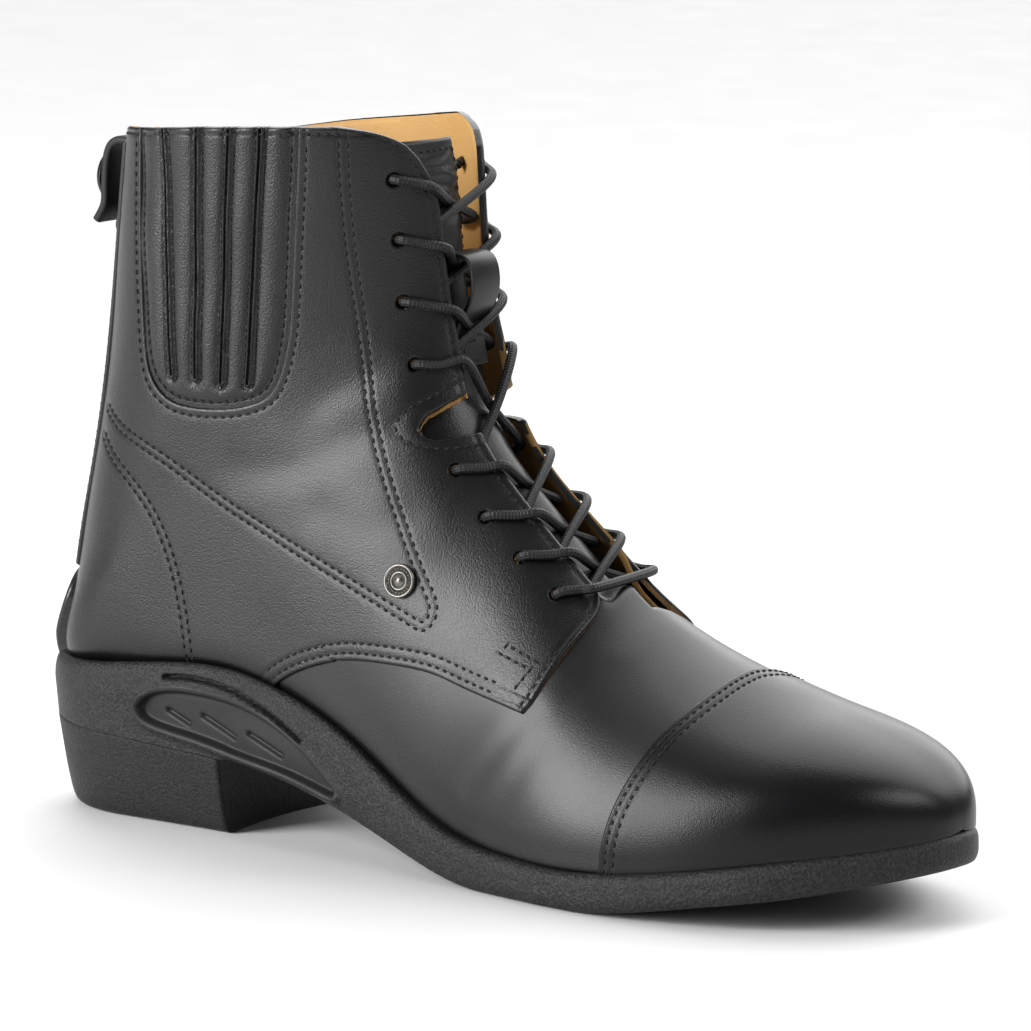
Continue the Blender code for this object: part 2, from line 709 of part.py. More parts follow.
def make_zip_slider():
    slider = box("zip_slider", (SLIDER_BACK, -SLIDER_HALF_WIDTH, SLIDER_LOW),
                 (SLIDER_FRONT, SLIDER_HALF_WIDTH, SLIDER_HIGH), root)
    half = BAIL_HALF_WIDTH
    bail = box("bail", (BAIL_BACK, -half, BAIL_LOW), (SLIDER_BACK + BAIL_SINK, half, BAIL_HIGH), cutters)
    window = box("bail_window", (BAIL_BACK + BAIL_BAR, -2 * half, BAIL_LOW + BAIL_POST),
                 (SLIDER_BACK, 2 * half, BAIL_HIGH - BAIL_POST), cutters)
    cut(slider, bail, "UNION")
    cut(slider, window)
    finish(slider, DARK_METAL, 0.35, 0.8)


def make_zip_pull():
    """The pull hangs from a pin through the slider's bail, and its origin is on that pin."""
    arms = [(PULL_ARM_INNER, PULL_PIN_RADIUS), (PULL_ARM_INNER, -PULL_ARM_LENGTH)]
    tip = [(PULL_HALF_WIDTH * math.cos(t), PULL_HALF_WIDTH * (1 - math.sin(t)) - PULL_LENGTH)
           for t in np.linspace(0, math.pi / 2, PULL_TIP_POINTS)]
    side = [(PULL_ARM_OUTER, PULL_PIN_RADIUS), (PULL_HALF_WIDTH, -PULL_ARM_LENGTH), *tip]
    half = arms[::-1] + side
    whole = half + [(-y, z) for y, z in reversed(half) if y > 0]
    work = bmesh.new()
    plate = [work.verts.new((-PULL_THICKNESS / 2 * MM, y * MM, z * MM)) for y, z in whole]
    face = work.faces.new(plate)
    pushed = bmesh.ops.extrude_face_region(work, geom=[face])["geom"]
    moved = [item for item in pushed if isinstance(item, bmesh.types.BMVert)]
    bmesh.ops.translate(work, verts=moved, vec=(PULL_THICKNESS * MM, 0, 0))
    zip_pull = solid("zip_pull", work, root)
    hinge = (PULL_X, 0.0, PULL_Z)
    zip_pull.location = place(hinge)
    zip_pull.rotation_euler = (0.0, math.radians(PULL_LEAN), 0.0)
    pin = bmesh.new()
    length = 2 * (PULL_ARM_INNER + PULL_PIN_OVERLAP)
    add_round(pin, hinge, (0.0, 1.0, 0.0), PULL_PIN_RADIUS, PULL_PIN_RADIUS, length, PULL_PIN_SIDES)
    cut(zip_pull, solid("pull_pin", pin, cutters), "UNION")
    finish(zip_pull, DARK_METAL, 0.35, 0.8)


clear_scene()
make_outsole()
make_heel_block()
make_upper()
make_insole()
make_tongue()
make_laces()
make_lace_keeper()
make_stud()
make_spur_rest()
make_back_zip()
make_zip_tab()
make_zip_slider()
make_zip_pull()
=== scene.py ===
import math

import bmesh
import bpy
import numpy as np
from mathutils import Matrix, Vector


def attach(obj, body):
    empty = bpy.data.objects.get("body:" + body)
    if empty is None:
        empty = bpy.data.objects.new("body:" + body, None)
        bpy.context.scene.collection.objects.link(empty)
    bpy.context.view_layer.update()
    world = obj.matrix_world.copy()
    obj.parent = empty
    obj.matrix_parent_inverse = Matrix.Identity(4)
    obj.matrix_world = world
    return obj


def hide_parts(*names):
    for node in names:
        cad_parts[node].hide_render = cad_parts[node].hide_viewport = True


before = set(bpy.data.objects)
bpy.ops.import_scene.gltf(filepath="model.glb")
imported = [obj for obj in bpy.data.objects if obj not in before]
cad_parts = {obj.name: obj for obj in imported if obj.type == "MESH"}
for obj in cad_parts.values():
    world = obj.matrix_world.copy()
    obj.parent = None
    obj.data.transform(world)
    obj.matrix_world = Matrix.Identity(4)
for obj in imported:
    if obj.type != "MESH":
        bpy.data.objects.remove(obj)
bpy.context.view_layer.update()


# Vamp: the black leather over the forefoot, cut from grained calf a little over 1 mm thick. It is pulled
# over the last from the toe to the instep and fixed under the insole, so it takes the last's own shape,
# and it shows soft creases where the foot bends.
MM = 0.001
HEEL_CENTRE = 36.0
UPPER_LENGTH = 278.5
NOSE_LENGTH, NOSE_POWER, NOSE_SEAT = 40.0, 2.35, 0.2
# Sections of the last from the toe to the collar: back x, back z, front x, front z, outer half width,
# inner half width, belly (share of the way to the front), power of the lower half, of the upper half
LAST_ROWS = (
    (278.5, 18.9, 278.5, 44.0, 26.0, 23.0, 0.25, 6.0, 3.0),
    (266.0, 17.9, 266.0, 45.4, 33.0, 28.5, 0.22, 6.0, 2.8),
    (249.0, 15.1, 249.0, 47.4, 39.8, 35.2, 0.20, 6.0, 2.5),
    (228.0, 11.5, 228.0, 52.6, 46.2, 40.4, 0.17, 7.0, 2.15),
    (205.0, 8.2, 205.0, 60.8, 48.8, 42.2, 0.15, 8.0, 1.9),
    (182.0, 7.1, 183.0, 72.2, 48.4, 38.6, 0.14, 8.0, 1.8),
    (160.0, 8.4, 166.0, 87.6, 44.4, 34.6, 0.13, 8.0, 1.8),
    (139.0, 13.8, 152.6, 100.6, 39.8, 31.4, 0.14, 8.0, 1.85),
    (118.0, 25.4, 142.4, 110.4, 36.6, 30.0, 0.17, 8.0, 1.95),
    (95.0, 36.0, 135.8, 119.4, 34.6, 30.6, 0.22, 8.0, 2.1),
    (70.0, 42.4, 132.2, 127.8, 33.4, 31.4, 0.27, 8.0, 2.2),
    (45.0, 41.4, 130.6, 135.2, 32.6, 32.0, 0.32, 8.0, 2.3),
    (22.0, 39.0, 129.4, 142.2, 32.4, 32.2, 0.36, 7.0, 2.3),
    (7.5, 39.2, 128.4, 148.4, 32.4, 32.2, 0.38, 5.0, 2.3),
    (3.2, 47.5, 127.6, 153.2, 32.4, 32.2, 0.39, 3.2, 2.3),
    (3.2, 59.0, 126.8, 157.6, 32.6, 32.2, 0.40, 2.5, 2.3),
    (4.9, 73.0, 126.0, 162.8, 33.0, 32.4, 0.41, 2.3, 2.3),
    (8.9, 93.0, 124.9, 169.4, 33.6, 32.8, 0.42, 2.2, 2.3),
    (13.2, 116.0, 123.7, 175.8, 34.4, 33.6, 0.43, 2.2, 2.3),
    (16.3, 139.0, 122.6, 181.4, 35.2, 34.4, 0.44, 2.2, 2.3),
    (18.7, 161.0, 121.6, 186.6, 36.0, 35.2, 0.45, 2.2, 2.3),
    (21.2, 183.5, 120.4, 191.4, 36.8, 36.0, 0.46, 2.2, 2.3),
)
COLLAR_ROW = len(LAST_ROWS) - 1.0
OUTER, INNER = -1, 1


def smooth_table(rows):
    """A smooth curve through a table's rows, read by row number."""
    values = np.array(rows, float)
    count = len(values)
    system = np.eye(count)
    pull = np.zeros_like(values)
    for i in range(1, count - 1):
        system[i, i - 1:i + 2] = 1, 4, 1
        pull[i] = 6 * (values[i - 1] - 2 * values[i] + values[i + 1])
    bend = np.linalg.solve(system, pull)

    def at(row):
        row = np.asarray(row, float)
        i = np.clip(row.astype(int), 0, count - 2)
        after = (row - i)[..., None]
        before = 1 - after
        straight = before * values[i] + after * values[i + 1]
        return straight + ((before**3 - before) * bend[i] + (after**3 - after) * bend[i + 1]) / 6

    return at


last_row = smooth_table(LAST_ROWS)


def rounded(depth, power):
    """The share of the full width at this share of a rounded end's length."""
    return (1 - (1 - np.clip(depth, 0, 1)) ** power) ** (1 / power)


def last_point(row, angle, inset=0.0):
    """Points on the last, or as far inside it as the inset. Angle 0 is the front or top line, pi the back
    or bottom line, and a plus angle the inner side of the foot."""
    row, angle = np.broadcast_arrays(np.asarray(row, float), np.asarray(angle, float))
    back_x, back_z, front_x, front_z, outer, inner, belly, low, high = np.moveaxis(last_row(row), -1, 0)
    depth = np.clip((UPPER_LENGTH - back_x) / NOSE_LENGTH, 0, 1)
    nose = np.maximum(rounded(depth, NOSE_POWER), 1e-5)
    ahead, aside = np.cos(angle), np.sin(angle)
    reach = np.abs(ahead)
    share = np.where(ahead > 0, belly + (1 - belly) * reach ** (2 / high), belly * (1 - reach ** (2 / low)))
    power = np.where(ahead > 0, high, low)
    half_chord = nose * np.hypot(front_x - back_x, front_z - back_z) / 2
    middle = NOSE_SEAT * (1 - nose) + nose / 2
    share = middle + (share - 0.5) * nose * half_chord / (half_chord + inset)
    half = nose * np.where(aside > 0, inner, outer)
    across = half * half / (half + inset) * np.abs(aside) ** (2 / power)
    x = back_x + (front_x - back_x) * share - inset * (1 - depth) ** 2
    return np.stack((x, np.copysign(across, aside), back_z + (front_z - back_z) * share), -1)


def last_slopes(row, angle, inset=0.0, step=0.004):
    along = last_point(row + step, angle, inset) - last_point(row - step, angle, inset)
    around = last_point(row, angle + step, inset) - last_point(row, angle - step, inset)
    return along / (2 * step), around / (2 * step)


def unit(vectors):
    return vectors / np.maximum(np.linalg.norm(vectors, axis=-1, keepdims=True), 1e-9)


def last_normal(row, angle, inset=0.0):
    along, around = last_slopes(row, angle, inset)
    return unit(np.cross(around, along))


def places_on_side(points, side):
    """Row and angle of the places on one side of the last that have these x and z."""
    x, z = np.array(points, float).T
    low, high = np.zeros(len(x)), np.full(len(x), COLLAR_ROW + 0.6)
    for _ in range(40):
        row = (low + high) / 2
        back_x, back_z, front_x, front_z = last_row(row)[:, :4].T
        ahead = (x - back_x) * (front_z - back_z) > (z - back_z) * (front_x - back_x)
        low, high = np.where(ahead, low, row), np.where(ahead, row, high)
    chord_x, chord_z = front_x - back_x, front_z - back_z
    wanted = (x - back_x) * chord_x + (z - back_z) * chord_z
    front, back = np.zeros(len(x)), np.full(len(x), math.pi)
    for _ in range(40):
        angle = (front + back) / 2
        spot = last_point(row, side * angle)
        nearer = (spot[:, 0] - back_x) * chord_x + (spot[:, 2] - back_z) * chord_z > wanted
        front, back = np.where(nearer, angle, front), np.where(nearer, back, angle)
    return np.stack((row, side * angle), 1)


def drawn(points, fineness=14):
    """A smooth line through a few points."""
    count = len(points) - 1
    return smooth_table(points)(np.linspace(0, count, count * fineness + 1))


def side_line(points, side, across=0.0):
    """A line on one side of the boot through x and z, moved sideways by the distance across."""
    flat = drawn(points)
    ahead = unit(np.gradient(flat, axis=0))
    return places_on_side(flat + across * np.stack((-ahead[:, 1], ahead[:, 0]), 1), side)


def turned_line(places, side):
    """A line through places given as row and degrees from the front line."""
    rows, degrees = drawn(places).T
    return np.stack((rows, side * np.radians(degrees)), 1)


def shifted(line, across):
    """A line moved sideways on the leather, to its left as seen from outside."""
    along, around = last_slopes(*line.T)
    normal = unit(np.cross(around, along))
    ahead = unit(np.gradient(last_point(*line.T), axis=0))
    step = across * np.cross(normal, ahead)
    rr, ra, aa = (along * along).sum(1), (along * around).sum(1), (around * around).sum(1)
    r, a = (along * step).sum(1), (around * step).sum(1)
    bottom = rr * aa - ra * ra
    return line + np.stack(((aa * r - ra * a) / bottom, (rr * a - ra * r) / bottom), 1)


def off_line(points, line, side, reach=None):
    """Distance of points from a line on the leather. It is plus above a line that runs to the toe, and
    behind one that runs up. Points further off than the reach all count as that far."""
    path = last_point(*line.T)
    out = last_normal(*line.T)
    near = np.ones(len(points), bool)
    if reach:
        near = ((points > path.min(0) - reach) & (points < path.max(0) + reach)).all(1)
    spots = points[near]
    best = np.full(len(spots), 1e9)
    sign = np.ones(len(spots))
    for start, end, normal in zip(path, path[1:], out):
        along = end - start
        share = np.clip((spots - start) @ along / (along @ along), 0, 1)
        off = spots - start - share[:, None] * along
        distance = np.linalg.norm(off, axis=1)
        nearer = distance < best
        best = np.where(nearer, distance, best)
        sign = np.where(nearer, np.sign(off @ np.cross(normal, along) + 1e-12), sign)
    result = np.full(len(points), reach or 1e9)
    result[near] = -side * sign * best
    return np.where(np.abs(result) < reach, result, reach) if reach else result


def girth(start, end, count):
    """Angles round the last from one to another in degrees, closer where its sections turn under."""
    turn_under = np.degrees(np.arccos(-np.linspace(0.02, 0.9, 44) ** 4))
    turn_under = turn_under[(turn_under > start) & (turn_under < end)]
    return np.radians(np.sort(np.concatenate((np.linspace(start, end, count), turn_under))))


def both_ways(angles):
    return np.unique(np.concatenate((-angles, angles)))


class Panel:
    """A piece cut from the last's surface: places as row and angle, faces, and measures in millimetres."""

    def __init__(self, rows, angles, inset=0.0):
        count = len(angles)
        self.inset = inset
        self.place = np.stack(np.meshgrid(rows, angles, indexing="ij"), -1).reshape(-1, 2)
        first = (np.arange(len(rows) - 1)[:, None] * count + np.arange(count - 1)).ravel()
        self.faces = np.concatenate((
            np.stack((first, first + 1, first + count + 1), 1),
            np.stack((first, first + count + 1, first + count), 1),
        ))
        self.measures = {}

    def points(self):
        return last_point(*self.place.T, self.inset)

    def grade(self, name, *levels):
        """Splits the faces along the lines where a measure has these values."""
        for level in levels:
            values = self.measures[name]
            over = (values > level)[self.faces]
            total = over.sum(1)
            split = ((total == 1) | (total == 2)) & (np.ptp(values[self.faces], axis=1) < 5)
            if not split.any():
                continue
            lone = np.where(total == 1, over.argmax(1), (~over).argmax(1))[split]
            turn = (lone[:, None] + np.arange(3)) % 3
            a, b, c = np.take_along_axis(self.faces[split], turn, 1).T
            ends = np.sort(np.concatenate((np.stack((a, b), 1), np.stack((a, c), 1))), 1)
            edges, index = np.unique(ends, axis=0, return_inverse=True)
            index = index.reshape(-1) + len(self.place)
            start, end = edges.T
            share = np.clip((level - values[start]) / (values[end] - values[start]), 0.03, 0.97)
            self.place = np.concatenate((
                self.place, self.place[start] + share[:, None] * (self.place[end] - self.place[start])))
            for key, old in self.measures.items():
                new = old[start] + share * (old[end] - old[start])
                self.measures[key] = np.concatenate((old, np.full(len(new), level) if key == name else new))
            ab, ac = index[:len(a)], index[len(a):]
            self.faces = np.concatenate((
                self.faces[~split], np.stack((a, ab, ac), 1), np.stack((ab, b, c), 1),
                np.stack((ab, c, ac), 1)))

    def trim(self, name, level=0.0):
        """Keeps the side of a line where the measure is over the level."""
        self.grade(name, level)
        keep = (self.measures[name] >= level - 1e-9)[self.faces].all(1)
        used, faces = np.unique(self.faces[keep], return_inverse=True)
        self.faces = faces.reshape(-1, 3)
        self.place = self.place[used]
        self.measures = {key: values[used] for key, values in self.measures.items()}


def in_frame(points):
    return (np.asarray(points, float) - (HEEL_CENTRE, 0.0, 0.0)) * MM


def bare_piece(name, points, faces, material, smooth=True):
    """A mesh of points in millimetres, not yet on a body."""
    if isinstance(faces, np.ndarray):
        faces = faces.tolist()
    mesh = bpy.data.meshes.new(name)
    mesh.from_pydata(in_frame(points).tolist(), [], [tuple(face) for face in faces])
    mesh.polygons.foreach_set("use_smooth", np.full(len(mesh.polygons), smooth))
    mesh.materials.append(material)
    mesh.update()
    piece = bpy.data.objects.new(name, mesh)
    bpy.context.scene.collection.objects.link(piece)
    return piece


def mesh_piece(name, points, faces, material, body="boot", smooth=True):
    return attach(bare_piece(name, points, faces, material, smooth), body)


def panel_piece(name, panel, lift, thickness, material):
    """The panel lifted off the last, with its cut edges turned in by the leather's thickness."""
    points = panel.points()
    normals = last_normal(*panel.place.T, panel.inset)
    outside = points + normals * lift[:, None]
    faces = panel.faces
    ends = np.concatenate((faces[:, [0, 1]], faces[:, [1, 2]], faces[:, [2, 0]]))
    _, index, count = np.unique(np.sort(ends, 1), axis=0, return_inverse=True, return_counts=True)
    rim = ends[count[index.reshape(-1)] == 1]
    used, local = np.unique(rim, return_inverse=True)
    local = local.reshape(-1, 2) + len(outside)
    under = outside[used] - normals[used] * thickness
    start, end = rim.T
    inner_start, inner_end = local.T
    skirt = np.concatenate((
        np.stack((end, start, inner_start), 1), np.stack((end, inner_start, inner_end), 1)))
    whole = np.concatenate((faces, skirt))
    if thickness < 0:
        whole = whole[:, ::-1]
    return mesh_piece(name, np.concatenate((outside, under)), whole, material)


def edge_drop(distance, radius):
    """How far a rounded edge falls at this distance from the cut."""
    inside = np.clip(1 - distance / radius, 0, 1)
    return radius * (1 - np.sqrt(1 - inside**2))


def groove(distance, width):
    return np.exp(-((distance / width) ** 2))


def step_up(value, width):
    """A soft step from 0 to 1 over this width."""
    share = np.clip(value / width + 0.5, 0, 1)
    return share * share * (3 - 2 * share)


def add_node(material, kind, inputs, **settings):
    made = material.node_tree.nodes.new(kind)
    for name, value in settings.items():
        setattr(made, name, value)
    for name, value in inputs.items():
        if isinstance(value, bpy.types.NodeSocket):
            material.node_tree.links.new(value, made.inputs[name])
        else:
            made.inputs[name].default_value = value
    return made


def new_finish(name, **values):
    """A material and its shader, with the values that are the same all over the surface."""
    material = bpy.data.materials.new(name)
    material.use_nodes = True
    shader = material.node_tree.nodes["Principled BSDF"]
    for key, value in values.items():
        shader.inputs[key.replace("_", " ")].default_value = value
    return material, shader


def join_nodes(material, source, target):
    material.node_tree.links.new(source, target)


PORE_SHARE, PATCHES_PER_METRE = 0.35, 38.0
COAT_ROUGHNESS = 0.22


def leather(name, dark, pale, grain, depth, smooth, rough, coat, specular=0.34):
    """Leather with a pebbled grain of this size in metres, patches of shine, and a thin finish coat."""
    material, shader = new_finish(name, Coat_Weight=coat, Coat_Roughness=COAT_ROUGHNESS,
                                  Specular_IOR_Level=specular)
    where = add_node(material, "ShaderNodeTexCoord", {}).outputs["Object"]
    stir = add_node(material, "ShaderNodeTexNoise", {"Vector": where, "Scale": 0.4 / grain, "Detail": 2.0})
    pull = add_node(material, "ShaderNodeVectorMath", {0: stir.outputs["Color"], "Scale": grain * 0.5},
                    operation="SCALE")
    spot = add_node(material, "ShaderNodeVectorMath", {0: where, 1: pull.outputs[0]}, operation="ADD")
    pebbles = add_node(material, "ShaderNodeTexVoronoi", {"Vector": spot.outputs[0], "Scale": 1 / grain},
                       feature="F1")
    pores = add_node(material, "ShaderNodeTexNoise", {"Vector": where, "Scale": 3.0 / grain, "Detail": 3.0})
    patch = add_node(material, "ShaderNodeTexNoise",
                     {"Vector": where, "Scale": PATCHES_PER_METRE, "Detail": 4.0})
    grains = {0: pores.outputs["Fac"], 1: PORE_SHARE, 2: pebbles.outputs["Distance"]}
    height = add_node(material, "ShaderNodeMath", grains, operation="MULTIPLY_ADD")
    bump = add_node(material, "ShaderNodeBump",
                    {"Height": height.outputs[0], "Strength": depth, "Distance": grain * 0.5}, invert=True)
    join_nodes(material, bump.outputs["Normal"], shader.inputs["Normal"])
    shine = add_node(material, "ShaderNodeMapRange",
                     {"Value": patch.outputs["Fac"], "From Min": 0.3, "From Max": 0.7,
                      "To Min": smooth, "To Max": rough})
    join_nodes(material, shine.outputs[0], shader.inputs["Roughness"])
    tone = add_node(material, "ShaderNodeMix",
                    {"Factor": patch.outputs["Fac"], "A": (*dark, 1), "B": (*pale, 1)}, data_type="RGBA")
    join_nodes(material, tone.outputs["Result"], shader.inputs["Base Color"])
    return material


black_leather = leather("black_grained_leather", (0.0024, 0.0024, 0.0028), (0.0047, 0.0047, 0.0053),
                        0.00045, 0.36, 0.28, 0.37, 0.11)
vamp_leather = leather("smooth_vamp_leather", (0.0024, 0.0024, 0.0028), (0.0047, 0.0047, 0.0053),
                       0.00042, 0.16, 0.36, 0.44, 0.09)

# The quarter's lower edge over the vamp (x, z), and its front edge up to the laces (row, degrees)
VAMP_ARC = ((82.5, 39.6), (87.0, 43.4), (94.5, 47.8), (106.0, 51.8), (118.2, 53.4), (136.4, 53.2),
            (149.0, 50.8), (168.2, 47.2), (188.0, 43.0))
INNER_FRONT = 0.34  # rows that the front edge lies nearer the toe on the inner side
FRONT_EDGE = ((5.98, 78.0), (5.74, 66.0), (5.60, 59.5), (5.50, 55.2), (5.39, 46.1), (5.31, 37.4),
              (5.25, 28.2), (5.24, 19.0), (5.27, 10.0), (5.30, 0.0))
CAP_SEAM = ((3.62, 0.0), (3.60, 14.0), (3.64, 30.0), (3.79, 47.0), (3.97, 65.0), (4.12, 82.0), (4.21, 103.0),
            (4.24, 125.0), (4.25, 150.0))
# Each edge of the quarter is measured from this x on, and all places further back count as well behind it
ARC_FROM, FRONT_FROM, WELL_BEHIND = 78, 110, 60.0
VAMP_ROWS, VAMP_DEGREES = (3.1, 9.9), 140.0
VAMP_LIFT = -1.0
VAMP_UNDERLAP, THROAT_UNDERLAP, THROAT_SINK = 5.0, 7.0, 4.4
UNDERLAP_FROM, UNDERLAP_FADE = 14.0, 4.0
THROAT_MIDDLE, THROAT_HALF, THROAT_FADE = 2.0, 12.5, 5.0
SINK_FROM, SINK_FADE = 1.2, 6.0
CAP_UNDERLAP = 6.0
LEATHER_THICKNESS = 1.2
# Creases across the bend of the foot: rows and degrees of the two ends, depth, half width
VAMP_CREASES = (
    ((6.30, -84.0), (5.45, -58.0), 0.10, 3.4),
    ((5.80, -90.0), (5.00, -46.0), 0.07, 4.2),
    ((4.95, -24.0), (4.92, 26.0), 0.10, 5.0),
    ((6.20, 82.0), (5.40, 50.0), 0.22, 3.4),
    ((5.70, 88.0), (4.90, 42.0), 0.16, 4.2),
)
CREASE_REACH = 14.0


def cap_distance(place):
    """How far behind the toe cap's edge a place lies, in millimetres."""
    seam = drawn(CAP_SEAM)
    rows = np.interp(np.abs(place[:, 1]), np.radians(seam[:, 1]), seam[:, 0])
    ahead, behind = (last_point(rows + step, place[:, 1]) for step in (-0.05, 0.05))
    spacing = np.linalg.norm(behind - ahead, axis=1) / 0.1
    return (place[:, 0] - rows) * spacing


def front_line(side):
    """The quarter's front edge, which lies a little nearer the toe on the inner side."""
    return turned_line(FRONT_EDGE, side) - (INNER_FRONT if side == INNER else 0.0, 0.0)


def quarter_front(points, side):
    """Distance behind the quarter's lower and front edges."""
    arc = off_line(points, side_line(VAMP_ARC, side), side)
    front = off_line(points, front_line(side), side)
    x = points[:, 0]
    return np.where(x < ARC_FROM, WELL_BEHIND, arc), np.where(x < FRONT_FROM, WELL_BEHIND, front)


def both_sides(measure, points):
    """A measure taken on each side of the boot with that side's own lines."""
    result = np.empty(len(points))
    for side in (OUTER, INNER):
        here = points[:, 1] * side >= 0 if side == INNER else points[:, 1] < 0
        result[here] = measure(points[here], side)
    return result


vamp_panel = Panel(np.linspace(*VAMP_ROWS, 136), both_ways(girth(0.0, VAMP_DEGREES, 88)))
vamp_points = vamp_panel.points()
vamp_panel.measures["cap"] = cap_distance(vamp_panel.place) + CAP_UNDERLAP
under_quarter = np.clip((np.abs(vamp_points[:, 1]) - UNDERLAP_FROM) / UNDERLAP_FADE, 0, 1)
behind = both_sides(lambda points, side: np.minimum(*quarter_front(points, side)), vamp_points)
vamp_panel.measures["behind"] = behind
vamp_panel.measures["quarter"] = THROAT_UNDERLAP + VAMP_UNDERLAP * under_quarter - behind
vamp_panel.trim("cap")
vamp_panel.trim("quarter")
vamp_points = vamp_panel.points()
at_throat = 1 - step_up(np.abs(vamp_points[:, 1] - THROAT_MIDDLE) - THROAT_HALF, THROAT_FADE)
sunk = step_up(vamp_panel.measures["behind"] - SINK_FROM, SINK_FADE)
vamp_lift = VAMP_LIFT - THROAT_SINK * at_throat * sunk
for start, end, depth, width in VAMP_CREASES:
    ends = np.array((start, end))
    crease = np.stack((np.linspace(*ends[:, 0], 12), np.radians(np.linspace(*ends[:, 1], 12))), 1)
    distance = off_line(vamp_points, crease, OUTER, CREASE_REACH)
    vamp_lift += depth * (0.7 * groove(np.abs(distance) - 1.5 * width, width) - groove(distance, width))
vamp = panel_piece("vamp", vamp_panel, vamp_lift, LEATHER_THICKNESS, vamp_leather)
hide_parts("upper")


# Toe cap: a second layer of the same leather over the toe, polished a little smoother. Its back edge is cut
# clean, lies on the vamp and is sewn down with two rows of black thread.
cap_leather = leather("polished_cap_leather", (0.0020, 0.0020, 0.0024), (0.0039, 0.0039, 0.0046),
                      0.00042, 0.16, 0.28, 0.36, 0.0, 0.25)
CAP_LIFT, CAP_THREAD_SINK = 0.1, 0.1
CAP_ROWS_OF_THREAD = (1.8, 4.2)
EDGE_LEVELS = (0.12, 0.3, 0.6, 0.9)
EDGE_RADIUS = 0.8
THREAD_GROOVE, THREAD_GROOVE_WIDTH = 0.14, 0.60
THREAD_LEVELS = (-1.0, -0.45, 0.0, 0.45, 1.0)


def grade_rows(panel, name, rows):
    """Fine lines of faces along each row of thread."""
    for row in rows:
        panel.grade(name, *(row + step for step in THREAD_LEVELS))


def sewn_drop(distance, rows):
    return sum(THREAD_GROOVE * groove(distance - row, THREAD_GROOVE_WIDTH) for row in rows)


toe_rows = np.concatenate((2 * (np.arange(1, 48) / 48) ** 3, np.linspace(2, 4.5, 50)))
cap_panel = Panel(toe_rows, both_ways(girth(0.0, 150.0, 90)))
cap_panel.measures["edge"] = -cap_distance(cap_panel.place)
cap_panel.trim("edge")
cap_panel.grade("edge", *EDGE_LEVELS)
grade_rows(cap_panel, "edge", CAP_ROWS_OF_THREAD)
cap_edge = cap_panel.measures["edge"]
cap_lift = CAP_LIFT - edge_drop(cap_edge, EDGE_RADIUS) - sewn_drop(cap_edge, CAP_ROWS_OF_THREAD)
toe_cap = panel_piece("toe_cap", cap_panel, cap_lift, LEATHER_THICKNESS, cap_leather)
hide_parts("upper")


# Quarters: one panel of black leather on each side, from the vamp to the collar and the back zip. They are
# sewn over the vamp along an arc, punched for the lace, cut out at the ankle so that the boot bends there,
# and carry double rows of thread that hold the stiffeners behind them.
QUARTER_LIFT = 0.1
raw_edge = leather("raw_leather_edge", (0.13, 0.068, 0.024), (0.27, 0.15, 0.058), 0.0006, 0.4, 0.6, 0.8, 0.0)
# The cut edge is left raw ahead of this x and under this z, in metres of the frame
RAW_EDGE_FROM = (0.124, 0.076)
# The lace opening: height, half width on the outer side, on the inner side
THROAT_ROWS = ((60.0, 12.0, 12.4), (92.0, 12.0, 12.2), (110.0, 11.0, 12.2), (128.0, 9.4, 13.4),
               (160.0, 9.9, 14.4), (170.7, 10.1, 15.6), (174.6, 10.7, 16.2), (178.6, 11.9, 16.9),
               (182.8, 14.0, 18.6), (186.6, 16.9, 22.4), (188.2, 19.4, 25.4), (189.4, 21.8, 28.0),
               (190.6, 25.6, 31.2), (191.4, 30.0, 34.0))
# The ankle cut-out on the outer side: y from the middle, height
NOTCH_OUTLINE = ((4.0, 113.4), (11.8, 112.7), (17.6, 111.7), (20.2, 111.0), (21.5, 111.8), (21.7, 113.6),
                 (19.8, 116.9), (14.9, 120.2), (8.9, 122.9), (4.0, 125.0))
NOTCH_INNER = 3.5
# The lace holes from the collar down: height, distance from the middle on the outer side, on the inner side
HOLE_ROWS = ((177.6, 20.0, 26.6), (162.0, 19.2, 24.6), (145.8, 18.8, 23.8), (129.8, 19.0, 23.4),
             (103.6, 19.6, 21.6), (92.4, 20.4, 21.6), (83.2, 21.0, 21.4), (74.8, 21.2, 21.2))
HOLE_RADIUS, HOLE_EDGE_RADIUS = 1.75, 0.6
HOLE_EDGE_LEVELS = (0.15, 0.35, 0.6, 1.0)
FRONT_CORNER = 6.0
COLLAR_OVERRUN = 0.3
# The collar's height along x, on the outer and the inner side
COLLAR_ROWS = ((20.0, 182.0, 181.8), (24.0, 184.2, 180.8), (30.0, 185.8, 180.6), (42.0, 187.1, 181.3),
               (58.0, 188.7, 184.0), (65.0, 189.3, 185.0), (84.0, 190.5, 187.4), (102.0, 191.2, 190.0),
               (125.0, 191.4, 191.6))
ZIP_OPENING, ZIP_LOW = 6.0, 64.5
# The double seam down the shaft, round its corner under the stud and back to the zip: x, z
SHAFT_SEAM = ((104.8, 192.0), (104.6, 186.0), (105.4, 159.2), (110.1, 125.4), (117.7, 102.8), (129.8, 80.8),
              (136.2, 71.6), (137.2, 67.4), (135.2, 64.6), (130.6, 65.6), (117.7, 70.5), (94.3, 79.4),
              (67.4, 90.3), (47.7, 100.0), (33.0, 105.6), (24.0, 110.0))
